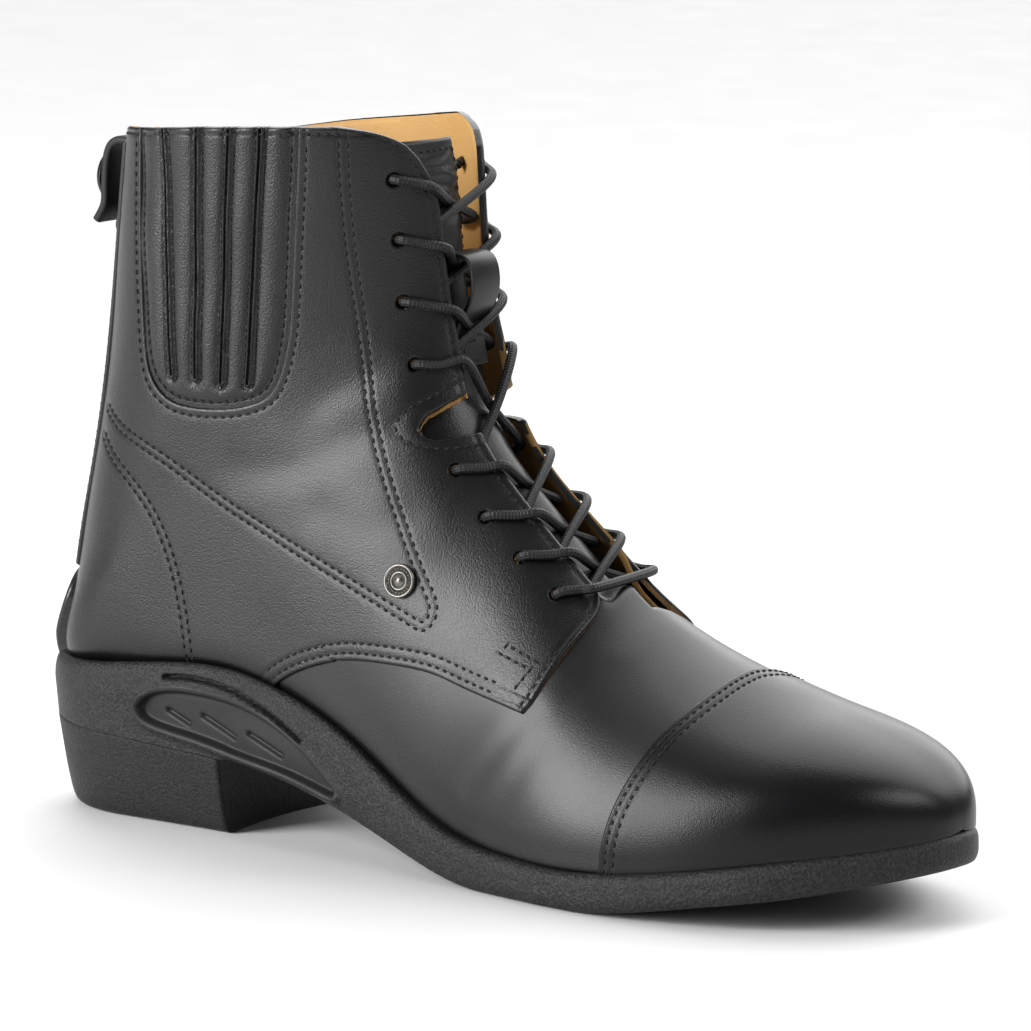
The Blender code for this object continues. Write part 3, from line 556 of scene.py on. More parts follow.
# The seam round the heel stiffener and the edge of the gore panel: x, z
COUNTER_SEAM = ((22.5, 102.5), (30.0, 96.8), (40.5, 89.0), (48.5, 78.0), (53.4, 65.0), (56.0, 52.0),
                (56.6, 43.0))
GORE_OUTLINE = ((39.6, 192.0), (40.2, 180.9), (40.9, 154.5), (42.2, 133.3), (44.5, 122.0), (50.2, 116.2),
                (58.1, 114.4), (69.2, 114.9), (78.3, 117.2), (84.4, 122.6), (88.2, 134.6), (89.9, 148.0),
                (92.8, 177.2), (94.0, 193.0))
SEAM_HALF, SEAM_REACH = 1.1, 9.0
FAR_OFF, SIDE_ANGLE, UNDER_GORE = 40.0, 1.7, 108
QUARTER_FIRST_ROW, ANKLE_ROW, QUARTER_FROM = 4.7, 10, 2.3
ARC_ROWS_OF_THREAD = (2.0, 4.6)
FRONT_ROWS_OF_THREAD = (2.0,)
COLLAR_ROWS_OF_THREAD = (1.8,)
GORE_ROWS_OF_THREAD = (2.3,)
NOTCH_ROWS_OF_THREAD = (2.7,)
# A soft fold behind each ankle cut-out: x and z, depth, half width
ANKLE_FOLDS = (
    (((116.0, 113.5), (104.0, 109.0), (90.0, 102.0), (74.0, 99.0)), 0.22, 5.2),
    (((112.0, 128.0), (100.0, 121.0), (92.0, 112.0)), 0.14, 4.6),
    (((126.0, 92.0), (114.0, 88.0), (100.0, 91.0)), 0.14, 5.0),
)


def places_in_front(points):
    """Row and angle of places on the front of the last that have these y and z."""
    y, z = np.array(points, float).T
    low, high = np.full(len(y), 4.0), np.full(len(y), COLLAR_ROW + 0.6)
    for _ in range(40):
        row = (low + high) / 2
        outer, inner, _, _, power = last_row(row)[:, 4:].T
        half = np.where(y > 0, inner, outer)
        angle = np.copysign(np.arcsin(np.minimum(np.abs(y) / half, 1.0) ** (power / 2)), y)
        below = last_point(row, angle)[:, 2] < z
        low, high = np.where(below, row, low), np.where(below, high, row)
    return np.stack((row, angle), 1)


def throat_half(z, side):
    table = np.array(THROAT_ROWS)
    return np.interp(z, table[:, 0], table[:, 1 if side == OUTER else 2])


def notch_outline(side):
    return np.array(NOTCH_OUTLINE) + (NOTCH_INNER if side == INNER else 0.0, 0.0)


def outside_outline(spots, outline):
    """Distance of flat points from a closed outline, plus outside it."""
    best = np.full(len(spots), 1e9)
    inside = np.zeros(len(spots), bool)
    for start, end in zip(outline, np.roll(outline, -1, axis=0)):
        along = end - start
        share = np.clip((spots - start) @ along / (along @ along), 0, 1)
        best = np.minimum(best, np.linalg.norm(spots - start - share[:, None] * along, axis=1))
        crosses = (start[1] > spots[:, 1]) != (end[1] > spots[:, 1])
        level = start[0] + (spots[:, 1] - start[1]) / (along[1] if along[1] else 1e-9) * along[0]
        inside ^= crosses & (spots[:, 0] < level)
    return np.where(inside, -best, best)


def round_corner(first, second, radius):
    """Two edges' distances as one, with the corner between them rounded."""
    corner = radius - np.hypot(radius - first, radius - second)
    return np.where((first < radius) & (second < radius), corner, np.minimum(first, second))


def hole_places(side):
    return places_in_front([(side * (inner if side == INNER else outer), z) for z, outer, inner in HOLE_ROWS])


def collar_distance(points, side):
    table = np.array(COLLAR_ROWS)
    return np.interp(points[:, 0], table[:, 0], table[:, 1 if side == OUTER else 2]) - points[:, 2]


def opening_measures(points, place, side):
    """Distances from the front opening, the ankle cut-out and the lace holes."""
    half = throat_half(points[:, 2], side)
    in_front = np.abs(place[:, 1]) < SIDE_ANGLE
    throat = np.where(in_front, np.abs(points[:, 1]) - half, FAR_OFF)
    flat = np.stack((np.abs(points[:, 1]), points[:, 2]), 1)
    notch = np.where(in_front, outside_outline(flat, notch_outline(side)), FAR_OFF)
    holes = np.full(len(points), FAR_OFF)
    for hole in last_point(*hole_places(side).T):
        holes = np.minimum(holes, np.linalg.norm(points - hole, axis=1))
    return throat, notch, holes


def ripple(points):
    """The slight unevenness of leather that has been worn over the last."""
    x, y, z = points.T
    return (0.07 * np.sin(x / 9.0 + z / 15.0) + 0.06 * np.sin(z / 7.5 - x / 21.0 + 1.3)
            + 0.04 * np.sin(x / 4.6 + y / 6.0 + z / 11.0))


def quarter_waves(points, side):
    """How the worn quarter stands off the last: its ripple and the folds at the ankle."""
    waves = ripple(points)
    for table, depth, width in ANKLE_FOLDS:
        distance = off_line(points, side_line(table, side), side, 4 * width)
        waves += depth * (0.6 * groove(np.abs(distance) - 1.6 * width, width) - groove(distance, width))
    return waves


def make_quarter(name, side, fineness):
    rows = np.concatenate((np.linspace(QUARTER_FIRST_ROW, ANKLE_ROW, int(104 * fineness)),
                           np.linspace(ANKLE_ROW, COLLAR_ROW + COLLAR_OVERRUN, int(168 * fineness))[1:]))
    panel = Panel(rows, np.sort(side * girth(QUARTER_FROM, 180.0, int(135 * fineness))))
    points = panel.points()
    measures = panel.measures
    measures["arc"], front = quarter_front(points, side)
    throat, measures["notch"], measures["holes"] = opening_measures(points, panel.place, side)
    measures["front"] = round_corner(front, throat, FRONT_CORNER)
    measures["collar"] = collar_distance(points, side)
    at_back = np.abs(panel.place[:, 1]) > SIDE_ANGLE
    beside_zip = np.maximum(np.abs(points[:, 1]) - ZIP_OPENING, ZIP_LOW - points[:, 2])
    measures["zip"] = np.where(at_back, beside_zip, FAR_OFF)
    off_gore = -off_line(points, side_line(GORE_OUTLINE, side), side)
    measures["gore"] = np.where(points[:, 2] < UNDER_GORE, FAR_OFF, off_gore)
    seams = {"shaft": SHAFT_SEAM, "counter": COUNTER_SEAM}
    for seam, table in seams.items():
        measures[seam] = off_line(points, side_line(table, side), side, SEAM_REACH)
    for edge in ("arc", "front", "notch", "zip", "gore", "collar"):
        panel.trim(edge)
    panel.trim("holes", HOLE_RADIUS)
    for edge in ("arc", "front", "notch", "collar", "gore"):
        panel.grade(edge, *EDGE_LEVELS)
    panel.grade("holes", *(HOLE_RADIUS + level for level in HOLE_EDGE_LEVELS))
    threads = {"arc": ARC_ROWS_OF_THREAD, "front": FRONT_ROWS_OF_THREAD, "collar": COLLAR_ROWS_OF_THREAD,
               "gore": GORE_ROWS_OF_THREAD, "notch": NOTCH_ROWS_OF_THREAD}
    threads.update({seam: (-SEAM_HALF, SEAM_HALF) for seam in seams})
    for edge, thread_rows in threads.items():
        grade_rows(panel, edge, thread_rows)
    measures = panel.measures
    points = panel.points()
    for seam, table in seams.items():
        measures[seam] = off_line(points, side_line(table, side), side, SEAM_REACH)
    lift = QUARTER_LIFT + quarter_waves(points, side)
    for edge in ("arc", "front", "notch", "collar", "gore"):
        lift -= edge_drop(measures[edge], EDGE_RADIUS)
    lift -= edge_drop(measures["holes"] - HOLE_RADIUS, HOLE_EDGE_RADIUS)
    for edge, thread_rows in threads.items():
        lift -= sewn_drop(measures[edge], thread_rows)
    quarter = panel_piece(name, panel, lift, LEATHER_THICKNESS, black_leather)
    quarter.data.materials.append(raw_edge)
    for face in quarter.data.polygons[len(panel.faces):]:
        face.material_index = int(face.center.x > RAW_EDGE_FROM[0] and face.center.z < RAW_EDGE_FROM[1])
    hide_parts("upper")


make_quarter("quarter_outer", OUTER, 0.85)
make_quarter("quarter_inner", INNER, 0.66)


# Gore panels: soft black leather set into each quarter at the top, folded into four tucks so that the shaft
# can give. Each tuck is sewn down along both of its folds and ends in a short bar of thread.
gore_leather = leather("soft_gore_leather", (0.0025, 0.0025, 0.0029), (0.0052, 0.0052, 0.0058),
                       0.00055, 0.42, 0.29, 0.40, 0.12)
GORE_UNDERLAP = 1.2
GORE_LIFT = -0.45
# Top and bottom of each tuck: x, z
TUCKS = (
    ((51.8, 191.0), (52.5, 122.4)),
    ((64.0, 191.0), (60.4, 122.3)),
    ((74.3, 191.0), (68.4, 121.8)),
    ((83.9, 191.0), (76.4, 122.2)),
)
TUCK_SLIT, TUCK_SLIT_WIDTH = 0.75, 0.24
TUCK_FOLD, TUCK_FOLD_AT, TUCK_FOLD_WIDTH = 0.80, 0.58, 0.38
TUCK_THREAD_AT, TUCK_DIP, TUCK_DIP_WIDTH = 1.5, 0.30, 0.40
TUCK_LEVELS = (0.1, 0.32, 0.6, 0.95, 1.5, 2.1)
TUCK_GRADE_REACH, TUCK_REACH = 7.0, 9.0
LANE_PUFF, LANE_PUFF_WIDTH, LANE_EDGE = 0.75, 1.6, 0.8
GORE_RISE, GORE_RISE_WIDTH = 0.5, 2.2
GORE_FIRST_ROW, GORE_DEGREES = 14.0, (52, 130)
GORE_RIPPLE, GORE_RIPPLE_STRETCH = 2.0, (1.0, 1.0, 1.6)
GORE_INSIDE_ROW = 1.7


def gore_waves(points, side):
    return GORE_RIPPLE * ripple(points * GORE_RIPPLE_STRETCH)


def make_gore(name, side):
    panel = Panel(np.linspace(GORE_FIRST_ROW, COLLAR_ROW + COLLAR_OVERRUN, 96),
                  np.sort(side * np.radians(np.linspace(*GORE_DEGREES, 92))))
    points = panel.points()
    measures = panel.measures
    measures["edge"] = off_line(points, side_line(GORE_OUTLINE, side), side)
    measures["collar"] = collar_distance(points, side)
    tuck_lines = [places_on_side(np.linspace(*ends, 40), side) for ends in TUCKS]
    for k, line in enumerate(tuck_lines):
        measures[f"tuck_{k}"] = off_line(points, line, side, TUCK_GRADE_REACH)
    panel.trim("edge", -GORE_UNDERLAP)
    panel.trim("collar")
    panel.grade("collar", *EDGE_LEVELS)
    grade_rows(panel, "edge", (GORE_INSIDE_ROW,))
    grade_rows(panel, "collar", COLLAR_ROWS_OF_THREAD)
    for k in range(len(TUCKS)):
        panel.grade(f"tuck_{k}", *(way * level for level in TUCK_LEVELS for way in (-1, 1)))
    measures = panel.measures
    points = panel.points()
    edge = np.clip(measures["edge"], 0, None)
    lift = GORE_LIFT + GORE_RISE * (1 - np.exp(-edge / GORE_RISE_WIDTH)) + gore_waves(points, side)
    nearest = np.full(len(points), TUCK_REACH)
    for line in tuck_lines:
        distance = np.abs(off_line(points, line, side, TUCK_REACH))
        nearest = np.minimum(nearest, distance)
        lift += TUCK_FOLD * groove(distance - TUCK_FOLD_AT, TUCK_FOLD_WIDTH)
        lift -= TUCK_SLIT * groove(distance, TUCK_SLIT_WIDTH)
        lift -= TUCK_DIP * groove(distance - TUCK_THREAD_AT, TUCK_DIP_WIDTH)
    nearest = np.minimum(nearest, np.maximum(edge - LANE_EDGE, 0))
    lift += LANE_PUFF * (1 - np.exp(-np.clip(nearest - TUCK_THREAD_AT, 0, None) / LANE_PUFF_WIDTH))
    lift -= edge_drop(measures["collar"], EDGE_RADIUS)
    lift -= sewn_drop(measures["edge"], (GORE_INSIDE_ROW,))
    lift -= sewn_drop(measures["collar"], COLLAR_ROWS_OF_THREAD)
    gore = panel_piece(name, panel, lift, LEATHER_THICKNESS, gore_leather)
    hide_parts("upper")


make_gore("gore_outer", OUTER)
make_gore("gore_inner", INNER)


# Seam thread: bonded black thread about half a millimetre thick, in lockstitches of 2.6 mm that sink into
#  the leather, with a needle hole between each two, drawn as a near-black matt disc: painted shade of the
#  hole.
def plain_finish(name, tone, roughness, scale, depth, metallic=0.0):
    """A finish with a fine uneven surface of this scale per metre."""
    material, shader = new_finish(name, Base_Color=(*tone, 1), Metallic=metallic, Specular_IOR_Level=0.36)
    where = add_node(material, "ShaderNodeTexCoord", {}).outputs["Object"]
    noise = add_node(material, "ShaderNodeTexNoise", {"Vector": where, "Scale": scale, "Detail": 3.0})
    rough = add_node(material, "ShaderNodeMapRange",
                     {"Value": noise.outputs["Fac"], "To Min": roughness * 0.8, "To Max": roughness * 1.2})
    join_nodes(material, rough.outputs[0], shader.inputs["Roughness"])
    bump = add_node(material, "ShaderNodeBump",
                    {"Height": noise.outputs["Fac"], "Strength": depth, "Distance": 0.0002})
    join_nodes(material, bump.outputs["Normal"], shader.inputs["Normal"])
    return material


black_thread = plain_finish("black_thread", (0.0025, 0.0025, 0.0028), 0.72, 4000.0, 0.4)
# Painted shade: a near-black matt finish for the shallow discs that stand for the needle holes' shade
painted_hole_shade = plain_finish("needle_hole_painted_shade", (0.003, 0.003, 0.003), 0.85, 3000.0, 0.1)
STITCH_PITCH, STITCH_LENGTH, STITCH_RADIUS = 2.6, 1.6, 0.42
# A stitch from end to end: share of its length, share of its thickness
THREAD_RINGS = ((-0.5, 0.35), (-0.38, 0.85), (0.0, 1.0), (0.38, 0.85), (0.5, 0.35))
THREAD_DIP = 0.9
NEEDLE_LENGTH, NEEDLE_WIDTH, NEEDLE_DEPTH, NEEDLE_SINK = 0.62, 0.40, 0.03, 0.04
NEEDLE_SIDES, NEEDLE_SHIFT = 8, 0.40
seam_paths = []


def add_seam(line, lift, side, under=0.0, waves=quarter_waves, across=0.0):
    """A row of thread along a line, moved sideways from it, no nearer the collar than it may be, and
    following the leather's waves."""
    row = shifted(line, -side * across) if across else line
    if under:
        row = row[collar_distance(last_point(*row.T), side) > under]
    points, normals = last_point(*row.T), last_normal(*row.T)
    stand_off = lift + (waves(points, side) if waves else np.zeros(len(points)))
    seam_paths.append(points + stand_off[:, None] * normals)
    seam_paths.append(normals)


def length_along(points):
    return np.concatenate(((0.0,), np.cumsum(np.linalg.norm(np.diff(points, axis=0), axis=1))))


def read_along(values, length, stops):
    """The values of a path's points at these lengths along it."""
    return np.stack([np.interp(stops, length, values[:, k]) for k in range(3)], 1)


def spaced(points, normals, pitch):
    """Places a pitch apart along a path: middle, direction and normal."""
    length = length_along(points)
    stops = np.arange(pitch / 2, length[-1], pitch)
    ahead = read_along(points, length, stops + 0.3) - read_along(points, length, stops - 0.3)
    return read_along(points, length, stops), unit(ahead), unit(read_along(normals, length, stops))


def capsule(length, radius, sides=6):
    """A short length of thread along its first axis, dipping at both ends."""
    points, faces = [], []
    for share, size in THREAD_RINGS:
        sink = -THREAD_DIP * radius * (2 * abs(share)) ** 4
        for k in range(sides):
            turn, wide = 2 * math.pi * k / sides, radius * size
            points.append((share * length, wide * math.cos(turn), wide * math.sin(turn) + sink))
    for ring in range(len(THREAD_RINGS) - 1):
        for k in range(sides):
            a, b = ring * sides + k, ring * sides + (k + 1) % sides
            faces.append((a, a + sides, b + sides, b))
    return np.array(points), np.array(faces)


def scattered(template, faces, middle, ahead, normal):
    """Copies of a small shape, each turned to its own direction and normal."""
    across = np.cross(normal, ahead)
    long, wide, high = (template[None, :, k:k + 1] for k in range(3))
    points = middle[:, None] + long * ahead[:, None] + wide * across[:, None] + high * normal[:, None]
    shift = np.arange(len(middle))[:, None, None] * len(template)
    return points.reshape(-1, 3), (faces[None] + shift).reshape(-1, faces.shape[1])


def thread_pieces(name, paths, pitch, thread):
    """The rows of stitches as one mesh, and near-black discs between them, painted shade of the needle holes,
    as another.
    """
    spots = [spaced(points, normals, pitch) for points, normals in zip(paths[::2], paths[1::2])]
    middle, ahead, normal = (np.concatenate(parts) for parts in zip(*spots))
    template, faces = capsule(STITCH_LENGTH * pitch / STITCH_PITCH, STITCH_RADIUS)
    sewn = mesh_piece(name, *scattered(template, faces, middle, ahead, normal), thread)
    turns = np.linspace(0, 2 * math.pi, NEEDLE_SIDES, endpoint=False)
    rim = np.stack((NEEDLE_LENGTH * np.cos(turns), NEEDLE_WIDTH * np.sin(turns), turns * 0), 1)
    dimple = np.concatenate(([(0, 0, -NEEDLE_DEPTH)], rim))
    fan = np.array([(0, 1 + k, 1 + (k + 1) % NEEDLE_SIDES) for k in range(NEEDLE_SIDES)])
    between = middle + ahead * NEEDLE_SHIFT * pitch - normal * NEEDLE_SINK
    # Near-black discs at the needle holes: painted shade of the holes, not a real opening
    marks = mesh_piece(name + "_needle_hole_shade_discs", *scattered(dimple, fan, between, ahead, normal), painted_hole_shade)


def ring_line(side, down, start, end, count=120):
    """A line round the shaft this far under the collar, from one angle to another in degrees."""
    angle = side * np.radians(np.linspace(start, end, count))
    row = np.full(count, COLLAR_ROW)
    for _ in range(6):
        points = last_point(row, angle)
        rise = (points - last_point(row - 0.1, angle))[:, 2] / 0.1
        row = row + (collar_distance(points, side) - down) / rise
    return np.stack((row, angle), 1)


def facing_line(side, low, high, away):
    """A line beside the front opening between two heights."""
    z = np.linspace(low, high, 40)
    return places_in_front(np.stack((side * (throat_half(z, side) + away), z), 1))


THREAD_LIFT, BOX_LIFT = 0.0, 0.15
UNDER_COLLAR, TUCK_UNDER_COLLAR = 3.0, 2.6
GORE_EDGE_THREAD, GORE_COLLAR_THREAD = GORE_LIFT + 0.2, GORE_LIFT + 0.7
TUCK_THREAD, TUCK_BAR_THREAD = GORE_LIFT + 0.34, GORE_LIFT + 0.5
# The points of the quarter's lower and front edges that carry thread
ARC_THREAD, FRONT_THREAD = slice(12, -6), slice(28, -60)
BOX_SEAM = ((166.2, 51.8), (169.3, 57.2), (159.6, 60.2), (160.9, 62.5), (172.3, 58.4))
# Degrees round the collar of its thread in front of the gore, over it and behind it
COLLAR_FRONT, COLLAR_GORE, COLLAR_BACK = (48, 62), (64, 122), (124, 148)
FACING_AWAY, FACING_LOW, FACING_HIGH = 2.0, (80.0, 106.0), (127.0, 188.6)
NOTCH_DEEP, NOTCH_MIDDLE = 24.2, 118.0
for side in (OUTER, INNER):
    for row in ARC_ROWS_OF_THREAD:
        add_seam(side_line(VAMP_ARC[:-1], side, row)[ARC_THREAD], THREAD_LIFT, side)
    add_seam(front_line(side)[FRONT_THREAD], THREAD_LIFT, side, across=FRONT_ROWS_OF_THREAD[0])
    box_line = np.concatenate([np.linspace(a, b, 8) for a, b in zip(BOX_SEAM, BOX_SEAM[1:])])
    add_seam(places_on_side(box_line, side), THREAD_LIFT + BOX_LIFT, side)
    for table in (SHAFT_SEAM, COUNTER_SEAM):
        for row in (-SEAM_HALF, SEAM_HALF):
            add_seam(side_line(table, side, row), THREAD_LIFT, side, UNDER_COLLAR)
    add_seam(side_line(GORE_OUTLINE, side, -GORE_ROWS_OF_THREAD[0]), THREAD_LIFT, side, UNDER_COLLAR)
    add_seam(side_line(GORE_OUTLINE, side, GORE_INSIDE_ROW), GORE_EDGE_THREAD, side, UNDER_COLLAR, gore_waves)
    for down in COLLAR_ROWS_OF_THREAD:
        add_seam(ring_line(side, down, *COLLAR_FRONT), THREAD_LIFT, side)
        add_seam(ring_line(side, down, *COLLAR_GORE), GORE_COLLAR_THREAD, side, waves=gore_waves)
        add_seam(ring_line(side, down, *COLLAR_BACK, 60), THREAD_LIFT, side)
    for heights in (FACING_LOW, FACING_HIGH):
        add_seam(facing_line(side, *heights, FACING_AWAY), THREAD_LIFT, side)
    deep = NOTCH_DEEP + (NOTCH_INNER if side == INNER else 0.0)
    near = throat_half(NOTCH_MIDDLE, side) + FACING_AWAY
    notch_row = drawn(((near, 109.9), (deep - 5.4, 108.8), (deep - 1.4, 109.4), (deep, 112.8),
                       (deep - 2.2, 118.2), (deep - 6.6, 121.8), (near + 0.6, 125.4)))
    add_seam(places_in_front(notch_row * (side, 1)), THREAD_LIFT, side)
    cap_line = turned_line(CAP_SEAM[:7], side)
    here, after = (last_point(cap_line[:, 0] + step, cap_line[:, 1]) for step in (0.0, 0.1))
    spacing = np.linalg.norm(after - here, axis=1) / 0.1
    for row in CAP_ROWS_OF_THREAD:
        cap_row = cap_line - np.stack((row / spacing, 0 * spacing), 1)
        add_seam(cap_row, CAP_LIFT - CAP_THREAD_SINK, side, waves=None)
thread_pieces("seam_thread", seam_paths, STITCH_PITCH, black_thread)
seam_paths.clear()
TUCK_PITCH = 2.1
TUCK_BAR = np.array((1.9, 0.6)), np.array((1.9, -0.6))
for side in (OUTER, INNER):
    for ends in TUCKS:
        for row in (-TUCK_THREAD_AT, TUCK_THREAD_AT):
            fold = places_on_side(np.linspace(*ends, 40) + (row, 0.0), side)
            add_seam(fold, TUCK_THREAD, side, TUCK_UNDER_COLLAR, gore_waves)
        foot = np.array(ends[1])
        bar_line = np.linspace(foot - TUCK_BAR[0], foot + TUCK_BAR[1], 8)
        add_seam(places_on_side(bar_line, side), TUCK_BAR_THREAD, side, waves=gore_waves)
thread_pieces("tuck_thread", seam_paths, TUCK_PITCH, black_thread)


# Lining: soft tan leather glued and sewn inside the whole upper. It shows inside the collar, along the far
# facing, and as a pale raw edge round the lace opening and the ankle cut-outs.
tan_leather = leather("tan_lining_leather", (0.43, 0.238, 0.075), (0.58, 0.352, 0.132),
                      0.0008, 0.25, 0.50, 0.68, 0.0)
WALL = 2.4
LINING_EDGE, LINING_BACK, LINING_PAST = 1.75, 0.5, 0.3
# The row up to which the lining closes across the front, and how it sinks there under the vamp
LINING_FRONT_OUTER, LINING_FRONT_INNER = 5.0, 4.66
LINING_SINK, LINING_SINK_ROW, LINING_SINK_FADE = 3.2, 5.75, 0.7
LINING_UNDER_COLLAR = 0.2


def make_lining():
    rows = np.concatenate((2 * (np.arange(2, 20) / 20) ** 2.6, np.linspace(2, ANKLE_ROW, 66),
                           np.linspace(ANKLE_ROW, COLLAR_ROW + COLLAR_OVERRUN, 80)[1:]))
    panel = Panel(rows, both_ways(girth(0.0, 180.0, 66)), WALL)
    points = panel.points()
    outside = last_point(*panel.place.T)
    for name in ("throat", "notch", "holes", "collar"):
        panel.measures[name] = np.empty(len(points))
    for side in (OUTER, INNER):
        here = panel.place[:, 1] >= 0 if side == INNER else panel.place[:, 1] < 0
        found = opening_measures(outside[here], panel.place[here], side)
        found += (collar_distance(outside[here], side),)
        for name, values in zip(("throat", "notch", "holes", "collar"), found):
            panel.measures[name][here] = values
    row, angle = panel.place.T
    front = row < np.where(angle < 0, LINING_FRONT_OUTER, LINING_FRONT_INNER)
    past = np.where(angle < 0, -LINING_BACK, LINING_PAST)
    panel.measures["throat"] = np.where(front, FAR_OFF, panel.measures["throat"] + past)
    levels = {"throat": 0.0, "notch": 0.0, "holes": HOLE_RADIUS, "collar": LINING_UNDER_COLLAR}
    for name, level in levels.items():
        panel.trim(name, level)
    lift = -LINING_SINK * step_up(LINING_SINK_ROW - panel.place[:, 0], LINING_SINK_FADE)
    lining = panel_piece("lining", panel, lift, -LINING_EDGE, tan_leather)
    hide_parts("upper")


make_lining()


# Insole: a tan leather sock glued over the insole board. It lies on the foot bed from the heel to the toes,
# and its edge turns up a little against the lining.
INSOLE_RISE, INSOLE_EDGE_RISE = 2.6, 1.6
INSOLE_MARGIN, INSOLE_BACK, INSOLE_ENDS = 7.5, 9, 22
INSOLE_STEPS, INSOLE_COLUMNS = 90, 25
SOLE_TOE, SOLE_BACK = 280.0, -3.8
SOLE_TOE_ROUND, SOLE_HEEL_ROUND, SOLE_ROUND_POWER = 42.0, 34.0, 2.2
# The outsole from heel to toe: x, outer half width, inner half width, rim height, underside height
SOLE_ROWS = (
    (-3.8, 34.0, 34.0, 41.2, 25.2),
    (20.0, 34.8, 34.8, 41.8, 23.9),
    (44.0, 35.0, 34.8, 44.3, 22.5),
    (68.0, 35.4, 34.0, 45.7, 21.1),
    (90.0, 36.0, 32.8, 41.3, 17.5),
    (110.0, 37.8, 32.0, 33.0, 12.3),
    (130.0, 41.0, 33.0, 21.5, 6.2),
    (150.0, 45.0, 36.0, 13.0, 1.0),
    (170.0, 48.8, 40.0, 10.6, -0.4),
    (190.0, 51.2, 43.4, 10.0, -0.4),
    (210.0, 51.3, 44.8, 11.8, 1.8),
    (230.0, 48.5, 43.0, 14.9, 5.3),
    (250.0, 42.4, 37.2, 18.3, 8.5),
    (266.0, 35.6, 30.0, 20.9, 11.4),
    (280.0, 29.0, 23.6, 23.2, 14.2),
)
BREAST_X, PARTING_BACK, PARTING_BREAST = 68.0, 25.0, 21.1
sole_fine = smooth_table(SOLE_ROWS)(np.linspace(0, len(SOLE_ROWS) - 1, 1500))


def parting_height(x):
    return PARTING_BACK + (PARTING_BREAST - PARTING_BACK) * x / BREAST_X


def sole_at(x):
    """Outer and inner half width, rim and underside of the outsole at x."""
    outer, inner, rim, under = (np.interp(x, sole_fine[:, 0], sole_fine[:, k]) for k in (1, 2, 3, 4))
    share = rounded((SOLE_TOE - x) / SOLE_TOE_ROUND, SOLE_ROUND_POWER)
    share = share * rounded((x - SOLE_BACK) / SOLE_HEEL_ROUND, SOLE_ROUND_POWER)
    under = np.where(x <= BREAST_X, parting_height(x), under)
    return outer * share, inner * share, rim, np.maximum(under, 0.0)


def grid_faces(rows, columns, closed=False):
    """Faces of a grid of points, joined round its columns if it is closed."""
    span = columns if closed else columns - 1
    a = (np.arange(rows - 1)[:, None] * columns + np.arange(span)).ravel()
    b = (np.arange(rows - 1)[:, None] * columns + (np.arange(span) + 1) % columns).ravel()
    return np.stack((a, b, b + columns, a + columns), 1)


insole_share = (1 - np.cos(np.linspace(0, math.pi, INSOLE_STEPS))) / 2
insole_x = SOLE_BACK + INSOLE_BACK + (SOLE_TOE - SOLE_BACK - INSOLE_ENDS) * insole_share
outer, inner, rim, _ = sole_at(insole_x)
outer, inner = (np.maximum(half - INSOLE_MARGIN, 1)[:, None] for half in (outer, inner))
across = np.linspace(-1, 1, INSOLE_COLUMNS)
insole_y = np.where(across < 0, outer, inner) * across
insole_z = (rim + INSOLE_RISE)[:, None] + INSOLE_EDGE_RISE * np.abs(across) ** 5
insole_x = np.broadcast_to(insole_x[:, None], insole_y.shape)
insole_points = np.stack((insole_x, insole_y, insole_z), -1).reshape(-1, 3)
insole_faces = grid_faces(INSOLE_STEPS, INSOLE_COLUMNS)[:, ::-1]
insole = mesh_piece("insole_sock", insole_points, insole_faces, tan_leather)
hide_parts("insole")


# Tongue: a double layer of thin black leather sewn in under the lace opening. It hangs loose at the top,
# where it is creased from being pulled, and has a row of thread round its edge.
tongue_leather = leather("tongue_leather", (0.0042, 0.0042, 0.0048), (0.0084, 0.0084, 0.0092),
                         0.0005, 0.25, 0.34, 0.46, 0.14)
# From the throat up: row of the last, half width in degrees on the outer and the inner side, drop
TONGUE_ROWS = ((4.6, 30.0, 30.0, 0.0), (5.1, 36.0, 36.0, 1.8), (5.6, 44.0, 44.0, 3.6),
               (6.4, 52.0, 52.0, 3.8), (7.6, 58.0, 57.0, 3.8), (9.2, 60.0, 58.0, 4.0),
               (11.5, 60.0, 52.0, 4.2), (14.5, 60.0, 34.0, 4.4), (17.5, 58.0, 22.0, 4.2),
               (20.3, 52.0, 12.0, 4.2))
TONGUE_HALF, TONGUE_THICKNESS, TONGUE_CLEAR = 60.0, 2.2, 0.6
# Creases near the top: height, tilt across, depth, half width
TONGUE_CREASES = ((181.0, 3.0, 0.45, 1.1), (176.5, -4.0, 0.6, 1.3), (171.0, 5.0, 0.55, 1.4),
                  (165.5, -3.0, 0.4, 1.6))
TONGUE_EDGE, TONGUE_EDGE_ROUND = 0.08, 0.35
TONGUE_THREAD_FROM, TONGUE_THREAD_SINK = 48, 0.05


